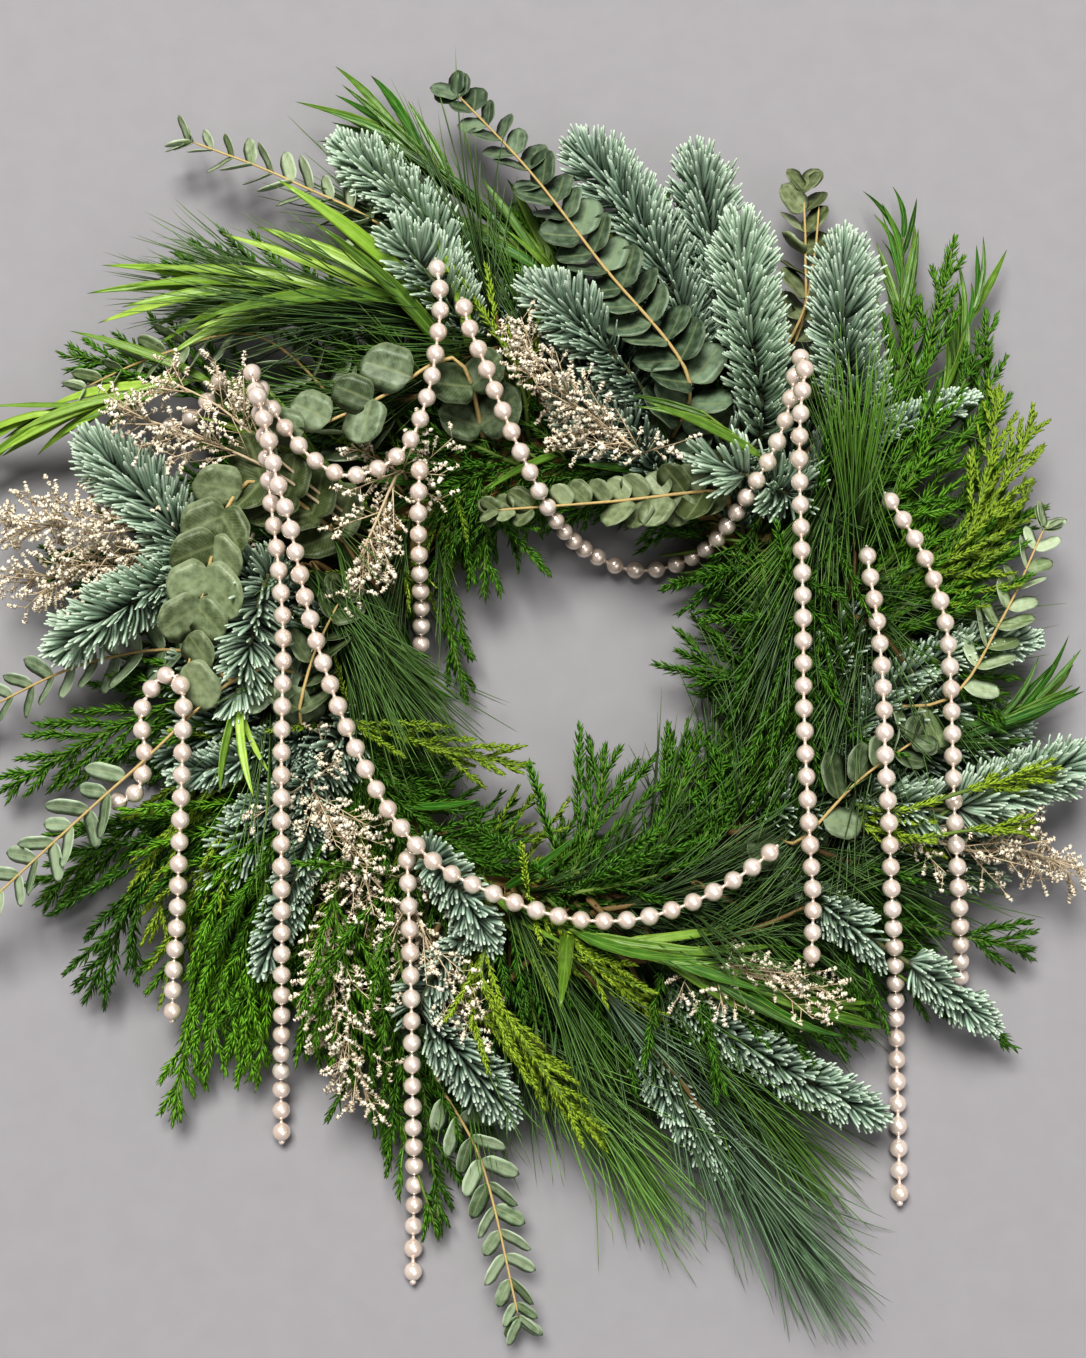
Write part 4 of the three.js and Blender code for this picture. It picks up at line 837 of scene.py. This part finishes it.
# Sprays that fill the wreath up between those, fused by kind and side into one piece each: the
# kind, the hue, and the stem.
MORE_SPRAYS = [
    ("cedar", 0.3, "166 16 60, 198 3 58, 234 -12 46"),
    ("pine", 0.35, "154 28 64, 170 12 64, 186 -10 60"),
    ("cedar", 0.45, "150 8 58, 181 38 60, 214 66 50"),
    ("pine", 0.6, "150 140 62, 143 111 66, 134 87 64"),
    ("pine", 0, "131 88 58, 126 60 62, 120 35 60"),
    ("pine", 0.2, "158 43 60, 152 15 64, 143 -9 62"),
    ("pine", 0.1, "164 -24 56, 155 -49 60, 140 -70 58"),
    ("cedar", 0.1, "101 60 60, 104 18 62, 93 -30 50"),
    ("cedar", 0.2, "119 28 68, 119 -25 70, 105 -80 58"),
    ("cedar", 0.15, "137 80 68, 133 30 72, 124 -20 66"),
    ("pine", 0.1, "149 44 58, 167 27 58, 184 15 52"),
    ("pine", 0.3, "119 -95 58, 143 -102 56, 166 -110 48"),
    ("pine", 0.4, "61 -113 56, 85 -126 52, 107 -139 46"),
    ("pine", 0.5, "-38 -118 58, -24 -142 56, -11 -166 50"),
    ("pine", 0.35, "8 -124 56, 29 -147 50, 48 -168 42"),
    ("pine", 0.45, "-76 -145 52, -69 -168 48, -62 -192 42"),
    ("pine", 0.5, "-162 -6 60, -165 -20 62, -168 -33 58"),
    ("pine", 0.35, "-143 59 64, -127 37 66, -110 16 60"),
    ("pine", 0.4, "-133 81 64, -119 59 64, -106 44 56"),
    ("pine", 0.45, "-25 183 60, -47 176 64, -71 170 62"),
    ("pine", 0.2, "-53 226 52, -69 236 50, -86 246 46"),
    ("pine", 0.4, "-74 153 58, -96 149 60, -115 150 58"),
    ("cedar", 0.05, "107 96 48, 88 64 40, 76 44 30"),
    ("cedar", 0.1, "123 18 46, 96 -3 40, 73 -7 30"),
    ("cedar", 0.15, "122 -26 46, 100 -52 42, 77 -62 32"),
    ("open", 0.6, "166 56 50, 194 100 54, 228 152 42"),
    ("cedar", 0.3, "177 18 46, 210 54 48, 247 97 34"),
    ("open", 0.3, "163 125 56, 180 175 54, 190 222 40"),
    ("open", 0.15, "174 108 58, 208 150 52, 229 190 38"),
    ("open", 0.5, "172 92 60, 192 124 64, 200 160 56"),
    ("lance", 0.05, "170 110 52, 190 135 52, 206 160 44"),
    ("eucalyptus", 0.9, "126 200 48, 134 235 48, 138 268 42"),
    ("cedar", 0.1, "131 -123 48, 163 -155 42, 202 -181 26"),
    ("cedar", 0.5, "-115 -123 48, -94 -176 40, -78 -218 26"),
    ("cedar", 0.15, "-94 -165 40, -81 -229 26, -73 -298 12"),
    ("cedar", 0.95, "-180 -86 48, -188 -149 40, -200 -218 20"),
    ("cedar", 0.9, "-159 -107 46, -164 -165 36, -172 -221 18"),
    ("cedar", 0.8, "-142 -123 46, -141 -171 36, -138 -210 20"),
    ("cedar", 0.05, "-224 -96 42, -246 -138 34, -266 -175 20"),
    ("cedar", 0.3, "-207 157 50, -245 173 42, -288 184 30"),
    ("cedar", 0.15, "-136 192 50, -184 220 44, -231 238 30"),
    ("cedar", 0.15, "-206 63 44, -256 59 38, -297 67 26"),
    ("cedar", 0.3, "14 193 46, -19 229 44, -42 268 34"),
    ("cedar", 0.2, "65 195 40, 48 243 38, 41 281 30"),
    ("cypress", 0.5, "204 61 56, 226 112 56, 235 162 42"),
    ("cypress", 0.3, "200 44 54, 232 76 50, 254 108 38"),
    ("cedar", 0.1, "84 -160 44, 122 -178 38, 158 -196 26"),
    ("open", 0.05, "150 -136 36, 200 -172 28, 238 -201 18"),
    ("cedar", 0.2, "58 -150 50, 92 -172 46, 120 -196 36"),
    ("cypress", 0.95, "42 213 40, 29 260 38, 15 296 30"),
    ("cypress", 0.9, "-24 -124 66, 7 -153 62, 39 -184 50"),
    ("cypress", 0.7, "-202 -70 52, -218 -107 46, -229 -144 34"),
    ("cypress", 0.85, "-50 -165 68, -18 -212 64, 16 -255 46"),
    ("pine", 0.6, "30 -162 48, 66 -196 38, 94 -228 24"),
    ("cedar", 0.1, "-5 -120 54, 35 -113 56, 78 -98 48"),
    ("pine", 0.1, "10 -130 52, 45 -123 54, 85 -108 50"),
    ("cypress", 0.9, "165 -78 72, 210 -66 74, 258 -54 62"),
    ("cypress", 0.7, "172 -92 70, 206 -88 70, 242 -84 58"),
    ("cedar", 0.6, "-128 -112 62, -122 -158 58, -118 -205 40"),
    ("cedar", 0.35, "-100 -120 64, -92 -160 60, -84 -200 46"),
    ("cedar", 0.3, "-160 -90 60, -166 -130 56, -172 -170 40"),
    ("eucalyptus", 0.4, "117 -94 70, 149 -62 76, 180 -40 70"),
    ("eucalyptus", 0.6, "-147 -29 70, -140 4 74, -126 36 72"),
    ("lance", 0, "203 -36 45, 237 -22 40, 262 -8 32"),
    ("lance", 0.25, "204 145 35, 217 190 32, 228 215 27"),
    ("lance", 0.12, "102 110 76, 86 122 84, 66 138 84"),
    ("lance", 0.9, "-178 -14 75, -173 -40 72, -171 -50 64"),
    ("cypress", 0.5, "-30 158 70, -52 196 75, -79 226 70"),
    ("filler", 0.5, "-160 104 74, -202 121 88, -245 138 76"),
    ("filler", 0.5, "-160 112 74, -190 138 84, -220 156 74"),
    ("filler", 0.5, "-141 -61 65, -120 -98 65, -93 -129 55"),
    ("filler", 0.5, "76 -155 55, 108 -168 55, 135 -171 45"),
]

# Each strand: how far its route moves to lie against the sprays, how it ends, how much of it may be
# covered by foliage at its start and end, and its route.
STRANDS = {
    "top_left": ([-0.6, 0, -0.3], "knot", 8, 0, (
        "-75 220 90, -72 196 92, -74 171 91, -78 147 89, -88 120 85, -102 107 82, -124 102 80, "
        "-143 113 82, -158 131 86, -168 147 92, -172 155 100, -169 142 103, -165 122 98, -161 85 95, "
        "-157 53 92, -154 20 90, -154 -42 86, -154 -104 78, -155 -155 58, -157 -197 34, -159 -224 14, "
        "-159 -252 6")),
    "top_right": ([1.7, 0, -0.8], "knot", 8, 0, (
        "-63 197 94, -59 181 94, -51 162 92, -43 141 90, -34 120 86, -24 100 78, -15 86 62, -4 77 38, "
        "9 72 18, 26 66 9, 43 65 9, 59 68 16, 73 73 34, 84 84 56, 93 96 74, 103 112 86, 110 129 92, "
        "114 147 97, 117 162 101, 119 153 111, 117 138 111, 116 110 104, 117 74 96, 118 32 90, "
        "118 -21 86, 119 -63 84, 121 -99 78, 123 -124 68, 123 -158 56")),
    "swag": ([-0.6, -0.6, -0.4], "object", 0, 8, (
        "-168 142 117, -163 124 113, -156 92 110, -150 72 106, -145 47 98, -139 21 94, -130 -8 92, "
        "-121 -32 90, -108 -60 87, -92 -86 84, -71 -107 80, -43 -121 77, -16 -131 75, 7 -135 74, "
        "33 -134 74, 60 -126 74, 83 -114 76, 97 -104 79, 106 -96 82")),
    "hole": ([-2.2, -2.2, 0], "knot", 8, 0, (
        "-81 112 84, -82 89 80, -82 59 64, -82 36 40, -83 17 24")),
    "bottom": ([1.4, -1.4, -1], "knot", 8, 0, (
        "-91 -96 71, -90 -114 70, -89 -140 70, -88 -176 64, -88 -208 52, -88 -239 38, -88 -271 18, "
        "-89 -298 6.5, -89 -325 6")),
    "left": ([0.6, 0, -0.3], "knot", 115, 0, (
        "-251 -71 50, -241 -70 56, -234 -65 60, -231 -54 64, -230 -42 68, -232 -27 72, -227 -15 76, "
        "-219 -7 82, -212 -7 86, -208 -15 86, -208 -41 80, -209 -72 74, -211 -103 64, -213 -134 52, "
        "-216 -160 40, -218 -187 28")),
    "right_outer": ([0.4, 0.4, -0.3], "knot", 8, 0, (
        "164 91 86, 170 82 86, 179 68 84, 186 55 82, 192 39 80, 197 19 76, 199 -2 72, 200 -39 68, "
        "201 -76 62, 204 -113 50, 208 -144 30, 211 -167 7")),
    "right_inner": ([-0.2, 0.2, -0.1], "knot", 8, 0, (
        "155 63 82, 156 49 84, 159 28 84, 161 6 84, 162 -20 85, 162 -52 86, 164 -83 80, 167 -124 64, "
        "171 -155 42, 175 -192 14, 176 -229 6.5, 176 -285 6")),
    "far_left": ([0, 0, -1.7], "object", 20, 8, (
        "-192 166 61, -197 157 60, -203 147 59, -211 140 57, -219 138 54, -228 135 49")),
}


# ---- Pieces ----
def make_piece(name, sheaf, materials, slot, *nodes):
    """The sheaf as one object that rides on the wreath and stands for the named nodes."""
    points = metres(np.concatenate(sheaf.points))
    loops = np.concatenate([faces.ravel() for faces, _ in sheaf.faces])
    sizes = np.concatenate([np.full(len(faces), faces.shape[1]) for faces, _ in sheaf.faces])
    used = np.concatenate([np.full(len(faces), index) for faces, index in sheaf.faces])
    mesh = bpy.data.meshes.new(name)
    mesh.vertices.add(len(points))
    mesh.vertices.foreach_set("co", points.ravel())
    mesh.loops.add(len(loops))
    mesh.loops.foreach_set("vertex_index", loops.astype(np.int32))
    mesh.polygons.add(len(sizes))
    starts = np.concatenate([[0], np.cumsum(sizes)[:-1]])
    mesh.polygons.foreach_set("loop_start", starts.astype(np.int32))
    for material in materials:
        mesh.materials.append(material)
    mesh.polygons.foreach_set("material_index", used.astype(np.int32))
    tone = mesh.attributes.new("tone", "FLOAT_COLOR", "POINT")
    tone.data.foreach_set("color", np.concatenate(sheaf.tones).ravel())
    mesh.update(calc_edges=True)
    mesh.shade_smooth()
    piece = placed(name, mesh)
    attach(piece, "root")
    if nodes:
        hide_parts(*nodes)
    return piece


# ---- Strands of pearls ----
# A pearl's outline along the string: how far from its middle, and its radius there. It draws in to
# a short neck at each end.
NECK = [(5.85, 0.85), (5.4, 0.95), (5.05, 1.2), (4.88, 1.5)]
PEARL_ANGLES = np.radians([22, 34, 47, 61, 75, 90])
HALF_PEARL = NECK + [(PEARL_RADIUS * math.cos(a), PEARL_RADIUS * math.sin(a)) for a in PEARL_ANGLES]
PEARL = np.array([(-x, r) for x, r in HALF_PEARL] + HALF_PEARL[-2::-1])
KNOT = np.array([(-1.6, 0.7), (-1.0, 1.5), (0.0, 1.9), (1.0, 1.5), (1.6, 0.8)])
PEARL_PAINT = grainy_paint(
    "pearl", "#f6e9df", "#eddacc", 0.27, (260, 2), 0.5, 0.7, 0.03, 0.0001, (700, 1), Metallic=0.42,
    Specular_IOR_Level=0.8, Coat_Weight=1.0, Coat_Roughness=0.06)
STRING_PAINT = grainy_paint("string", "#ded0c0", "#f4ece2", 0.6, (900, 3), 0.6, 0.5)


def beads(sheaf, line, along, profile, rng, corners):
    """Round bodies threaded on a line."""
    centre, tangent, upper, level = line.framed(along)
    grown = (0.97 + 0.05 * rng.random(len(along)))[:, None, None]
    centres = centre[:, None] + tangent[:, None] * profile[:, 0][:, None] * grown
    rings = circle(-level, upper, corners)[:, None] * profile[:, 1][:, None, None] * grown[..., None]
    tips = centre + tangent * (profile[-1, 0] + 0.1)
    share = np.linspace(0, 1, len(profile))
    tone = tones(rng.random(len(along)), share, np.full(corners, HALF), HALF)
    sweep(sheaf, centres, rings, tips, tone)


def eased(line, rounds=10, step=1.5):
    """The line with its tightest bends eased, as a string lies."""
    points = line.at(np.linspace(0, line.length, int(line.length / step)))[0]
    for _ in range(rounds):
        points[1:-1] = (points[:-2] + 2 * points[1:-1] + points[2:]) / 4
    points[:, 2] = np.maximum(points[:, 2], PEARL_RADIUS + 0.3)
    return Line(points)


STRING_STEP = 3
KNOT_INSET = 0.6


def make_string(name, line):
    """A strand's string as a curve, and the curve's points."""
    data = bpy.data.curves.new("string_" + name, "CURVE")
    data.dimensions = "3D"
    data.bevel_depth = STRING_RADIUS * MM
    data.bevel_resolution = 2
    data.use_fill_caps = True
    data.materials.append(STRING_PAINT)
    stations = np.linspace(0, line.length, int(line.length / STRING_STEP))
    points = metres(line.at(stations)[0])
    spline = data.splines.new("POLY")
    spline.points.add(len(points) - 1)
    spline.points.foreach_set("co", np.c_[points, np.ones(len(points))].ravel())
    return placed("string_" + name, data), points


def make_pearls(name, line, far_end):
    """A strand's pearls, with the knot that ends it."""
    rng = np.random.default_rng(len(name))
    sheaf = Sheaf()
    count = round(line.length / PEARL_PITCH)
    pitch = line.length / count
    beads(sheaf, line, (np.arange(count) + 0.5) * pitch, PEARL, rng, corners=18)
    if far_end == "knot":
        beads(sheaf, line, np.array([line.length - KNOT_INSET]), KNOT, rng, corners=10)
    return make_piece("pearls_" + name, sheaf, [PEARL_PAINT], "pearl")


def make_strand(name, moved, far_end, covered_start, covered_end, text):
    """A string with its pearls, and the room that it takes."""
    line = eased(Line(smooth(np.array(route(text)) + moved)))
    ROOM.block(line, covered_start, covered_end)
    string, points = make_string(name, line)
    pearls = make_pearls(name, line, far_end)
    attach(string, "root")
    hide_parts("pearl_strand_" + name)


# ---- Sprays ----
COVERING = ["eucalyptus", "broad", "disc"]  # nothing else grows through these leaves
BARE_SHARE = 0.3  # of the way from the form to a first stem's leaves
FORK_BACK = 14  # how far before its nearest point on the first stem another one leaves it
FORK_BARE = 6.0


def from_form(points):
    """A stem's points with the way from its seat on the form put before them."""
    first = np.array(points[0], float)
    flat = first[:2] / np.linalg.norm(first[:2])
    distance = np.linalg.norm(first[:2])
    radius = FORM_RADIUS + np.clip(distance - FORM_RADIUS, -1, 1) * FORM_FOOT / 3
    seat = np.append(flat * radius, FORM_HEIGHT - 2)
    risen = np.append(flat * (radius + np.sign(distance - radius) * 3), FORM_HEIGHT + 5)
    before = [seat, risen] if np.linalg.norm(first - risen) > 12 else [seat]
    return np.array([*before, *points], float)


def stem_lines(stems):
    """Each stem's line and where its leaves start: the first stem from the form, and each other
    one from where it leaves the first."""
    whole = from_form(stems[0])
    bare = Line(smooth(whole[: len(whole) - len(stems[0]) + 1])).length
    main = Line(smooth(whole))
    lines = [(main, BARE_SHARE * bare)]
    for points in stems[1:]:
        first = np.array(points[0], float)
        nearest = np.argmin(np.linalg.norm(main.points - first, axis=1))
        origin = main.at(max(4.0, main.along[nearest] - FORK_BACK))[0]
        if np.linalg.norm(origin - first) < 10:
            points = points[1:]
        lines.append((Line(smooth([origin, *points])), FORK_BARE))
    return lines


def make_sprays():
    """The covering ones come first, so that the others grow round them."""
    covering_first = sorted(enumerate(SPRAYS), key=lambda numbered: numbered[1].kind not in COVERING)
    for index, facts in covering_first:
        rng = np.random.default_rng(SPRAY_SEED + index)
        sheaf = Sheaf()
        look = facts.look
        lines = stem_lines(facts.stems)
        for order, (line, start) in enumerate(lines):
            scale = facts.scales[min(order, len(facts.scales) - 1)]
            hue = facts.hues[min(order, len(facts.hues) - 1)]
            look.grow(sheaf, line, start, rng, hue, look, 1.0, scale)
        make_piece(facts.name + "_fine", sheaf, look.paints, look.slot, facts.name)
        if facts.kind in COVERING:
            ROOM.cover(np.concatenate(sheaf.points))
        if facts.kind == "fir":
            for line, _ in lines:
                ROOM.block(line, line.length, 0)


# ---- The growth between and under the sprays ----
# Each row: how many stems, how far out and how high they begin, how far they reach outwards and
# round, how high their tips are, and how much their reach varies.
ROWS = [
    SimpleNamespace(count=60, radius=134, low=24, out=108, round=36, tip=12, spread=24),
    SimpleNamespace(count=52, radius=132, low=36, out=80, round=34, tip=34, spread=18),
    SimpleNamespace(count=60, radius=120, low=38, out=30, round=52, tip=48, spread=12),
    SimpleNamespace(count=48, radius=120, low=26, out=-32, round=22, tip=18, spread=8),
    SimpleNamespace(count=64, radius=130, low=36, out=-28, round=34, tip=42, spread=10),
]
UNDER_SHARE = 0.75  # how thickly needles grow there
BETWEEN_SHARE = 0.85
BLADE_SCALES = {"lance": 0.6}  # how long the blades are there, as a share of a spray's
STEM_SCALES = {"pine": 0.35, "lance": 0.4}  # how long the stems are there
SIDES = ["right", "top", "left", "bottom"]
# What grows where, by degrees anticlockwise from the right.
ZONES = [
    (30, ["pine", "cedar", "pine", "cedar", "pine"]),
    (75, ["cedar", "lance", "cedar", "fir"]),
    (115, ["cedar", "fir", "lance", "cedar"]),
    (160, ["lance", "pine", "cedar", "cypress"]),
    (205, ["cedar", "fir", "cedar", "lance"]),
    (255, ["cedar", "cedar", "lance", "cedar", "cypress"]),
    (315, ["pine", "cedar", "cedar", "pine"]),
    (361, ["cedar", "pine", "fir", "pine"]),
]


def side_of(angle):
    return SIDES[int((math.degrees(angle) + 45) % 360 // 90)]


def grow_more(sheaves, kind, place, line, start, rng, hue, share):
    """Lets a stem grow in the sheaf for its kind and place."""
    sheaf = sheaves.setdefault((kind, place), Sheaf())
    look = KINDS[kind]
    look.grow(sheaf, line, start, rng, hue, look, share, BLADE_SCALES.get(kind, 1.0))


def under_line(row, degrees, kind, rng):
    """A stem of the row, from the form outwards or inwards and round."""
    angle = math.radians(degrees)
    out = np.array([math.cos(angle), math.sin(angle), 0])
    turn = np.array([-math.sin(angle), math.cos(angle), 0])
    base = out * (row.radius + 8 * jitter(rng))
    base[2] = row.low
    reach = row.out + row.spread * jitter(rng)
    swing = row.round * (0.6 + 0.8 * rng.random())
    scale = STEM_SCALES.get(kind, 1.0)
    tip = base + (out * reach + turn * swing) * scale
    tip[2] = row.low + (row.tip - row.low) * scale + 8 * jitter(rng)
    middle = (base + tip) / 2 + out * 0.08 * reach
    middle[2] += 5
    return Line(smooth([base, middle, tip]))


def grow_under(sheaves):
    rng = np.random.default_rng(UNDER_SEED)
    for row in ROWS:
        layer = "inner" if row.out < 0 else "outer"
        for i in range(row.count):
            degrees = 360 * (i + 0.6 * rng.random()) / row.count
            kinds = next(kinds for end, kinds in ZONES if degrees < end)
            kind = kinds[rng.integers(len(kinds))]
            if kind == "fir" and layer == "inner":
                kind = "cedar"
            line = under_line(row, degrees, kind, rng)
            place = f"{layer}_{side_of(math.radians(degrees))}"
            grow_more(sheaves, kind, place, line, 4, rng, 0.2 * rng.random(), UNDER_SHARE)


def grow_between(sheaves):
    for index, (kind, hue, text) in enumerate(MORE_SPRAYS):
        points = route(text)
        line = Line(smooth(from_form(points)))
        start = 0.5 * (line.length - Line(points).length)
        side = side_of(math.atan2(points[0][1], points[0][0]))
        rng = np.random.default_rng(BETWEEN_SEED + index)
        grow_more(sheaves, kind, side, line, start, rng, hue, BETWEEN_SHARE)


def make_growth(name, grow):
    sheaves = {}
    grow(sheaves)
    for (kind, place), sheaf in sheaves.items():
        make_piece(f"{name}_{kind}_{place}", sheaf, KINDS[kind].paints, KINDS[kind].slot)


# ---- The straw form and its wire ----
STRAW = SimpleNamespace(count=3200, width=1.6, thick=0.7, corners=4, profile=LONG_NEEDLE)


def form_point(angle, across, height):
    angle, across, height = np.broadcast_arrays(angle, across, height)
    radius = FORM_RADIUS + across
    return np.stack([radius * np.cos(angle), radius * np.sin(angle), height], -1)


def squared(wave, power):
    """A wave from -1 to 1 with fuller or slimmer crests."""
    return np.sign(wave) * np.abs(wave) ** power


def add_straws(sheaf, rng):
    """Loose straws all over the form."""
    start = 2 * np.pi * rng.random(STRAW.count)
    turn = 2 * np.pi * rng.random(STRAW.count)
    side = np.cos(turn) * FORM_WIDTH / 2 * 0.92
    level = FORM_HEIGHT / 2 * (1 + 0.93 * np.sin(turn))
    base = form_point(start, side, np.clip(level, 0.7, FORM_HEIGHT))
    length = 20 + 30 * rng.random(STRAW.count)
    way = np.stack([-np.sin(start), np.cos(start), 0 * start], -1)
    outward = np.stack([np.cos(start), np.sin(start), 0 * start], -1)
    heading = unit(way + outward * (0.24 * jitter(rng, STRAW.count))[:, None])
    bow = -outward * (length**2 / (2 * FORM_RADIUS))[:, None]
    blades(sheaf, base, heading, turned(outward, UP, turn), length, bow, rng, STRAW, HALF)


def make_form(stations=240, corners=28):
    """The straw ring, rounded and a little lumpy, with its straws."""
    rng = np.random.default_rng(FORM_SEED)
    sheaf = Sheaf()
    angle = 2 * np.pi * np.arange(stations) / stations
    around = 2 * np.pi * np.arange(corners) / corners
    across = FORM_WIDTH / 2 * 0.93 * squared(np.cos(around), 0.9)
    height = FORM_HEIGHT / 2 * (1 + 0.97 * squared(np.sin(around), 0.8))
    lumps = 0.5 * rng.random((stations, corners))
    points = form_point(angle[:, None], across * (1 - 0.03 * lumps), height * (1 - 0.02 * lumps))
    tone = np.full((1, stations * corners, 4), HALF)
    tone[0, :, 0] = rng.random(stations * corners)
    quads = ring_quads(stations, corners, closed=True)[:, INSIDE_OUT]
    sheaf.add(points.reshape(1, -1, 3), tone, [quads])
    add_straws(sheaf, rng)
    material = grainy_paint(
        "straw", "#806234", "#dec280", 0.62, (90, 2), 0.3, 0.8, 0.4, bump=(1400, 2))
    make_piece("straw_form", sheaf, [material], "straw", "straw_ring")


def make_wire(corners=8):
    """One coil: across the underside in its notches, up the outside and on over the top."""
    off = WIRE_RADIUS + 0.6
    foot = FORM_FOOT / 2
    half = FORM_WIDTH / 2
    turn = 2 * math.pi / WIRE_TURNS
    crossing = WIRE_RADIUS + 0.4
    over_top = [(0.15, foot + off * 0.8), (0.38, foot * 0.4), (0.62, -foot * 0.4),
                (0.85, -foot - off * 0.8)]
    places = []
    for i in range(WIRE_TURNS):
        at = (i + 0.5) * turn
        places += [(at, -foot - 0.8, crossing), (at, foot + 0.8, crossing),
                   (at, half + off, FORM_HEIGHT / 2)]
        places += [(at + turn * share, across, FORM_HEIGHT + off + 0.3) for share, across in over_top]
        places.append((at + turn, -half - off, FORM_HEIGHT / 2))
    given = [form_point(*place) for place in places]
    points = smooth(given + given[:1], 5)[:-1]
    points[:, 2] = np.maximum(points[:, 2], crossing)
    tangents = unit(np.roll(points, -1, axis=0) - np.roll(points, 1, axis=0))
    outward = points - form_point(np.arctan2(points[:, 1], points[:, 0]), 0, FORM_HEIGHT / 2)
    first = unit(outward - tangents * (outward * tangents).sum(1)[:, None])
    rings = points[:, None] + WIRE_RADIUS * circle(first, np.cross(tangents, first), corners)
    sheaf = Sheaf()
    tone = np.full((1, len(points) * corners, 4), HALF)
    sheaf.add(rings.reshape(1, -1, 3), tone, [ring_quads(len(points), corners, closed=True)])
    material = grainy_paint(
        "wire", "#263a22", "#48603e", 0.35, (500, 3), 0.6, 0.5, Metallic=0.6)
    make_piece("binding_wire_fine", sheaf, [material], "binding_wire", "binding_wire")


# ---- Floor and light ----
def make_stage(corners=96):
    """A round floor that rises in a curve far out, in metres."""
    bend = np.linspace(0, math.pi / 2, 15)
    radius = np.concatenate([[0.7, 1.5, 3.0], 4.5 + 2 * np.sin(bend), [6.5]])
    height = np.concatenate([[0.0, 0.0, 0.0], 2 - 2 * np.cos(bend), [3.6]]) - 0.0006
    angle = 2 * np.pi * np.arange(corners) / corners
    x, y = radius[:, None] * np.cos(angle), radius[:, None] * np.sin(angle)
    points = np.stack([x, y, np.broadcast_to(height[:, None], x.shape)], -1).reshape(-1, 3)
    quads = ring_quads(len(radius), corners)[:, INSIDE_OUT]
    mesh = bpy.data.meshes.new("floor")
    mesh.from_pydata(points.tolist(), [], [list(range(corners)), *quads.tolist()])
    mesh.shade_smooth()
    mesh.materials.append(grainy_paint("floor", "#929092", "#9c9a9c", 0.85, (60, 3), 0.6, 0.5))
    placed("floor", mesh)


def make_light(name, place, energy, tint=(1, 1, 1)):
    """A square light that faces the wreath."""
    data = bpy.data.lights.new(name, "AREA")
    data.energy = energy
    data.color = tint
    data.size = 4
    light = placed(name, data)
    light.location = place
    aim = -np.array(place)
    light.rotation_euler = (math.atan2(math.hypot(aim[0], aim[1]), -aim[2]), 0,
                            math.atan2(aim[1], aim[0]) - math.pi / 2)


def make_lights():
    world = bpy.data.worlds.new("studio")
    world.use_nodes = True
    background = world.node_tree.nodes["Background"]
    background.inputs["Color"].default_value = (0.95, 0.97, 1.0, 1)
    background.inputs["Strength"].default_value = 0.15
    bpy.context.scene.world = world
    bpy.context.scene.view_settings.view_transform = "Standard"
    bpy.context.scene.view_settings.look = "High Contrast"
    make_light("key", (-1.0, 3.3, 8.1), 820, (1.0, 0.99, 0.97))
    make_light("fill", (2.4, -2.0, 5.2), 68)


make_camera()
for strand_name, facts in STRANDS.items():
    make_strand(strand_name, *facts)
make_sprays()
make_growth("under", grow_under)
make_growth("between", grow_between)
make_form()
make_wire()
make_stage()
make_lights()
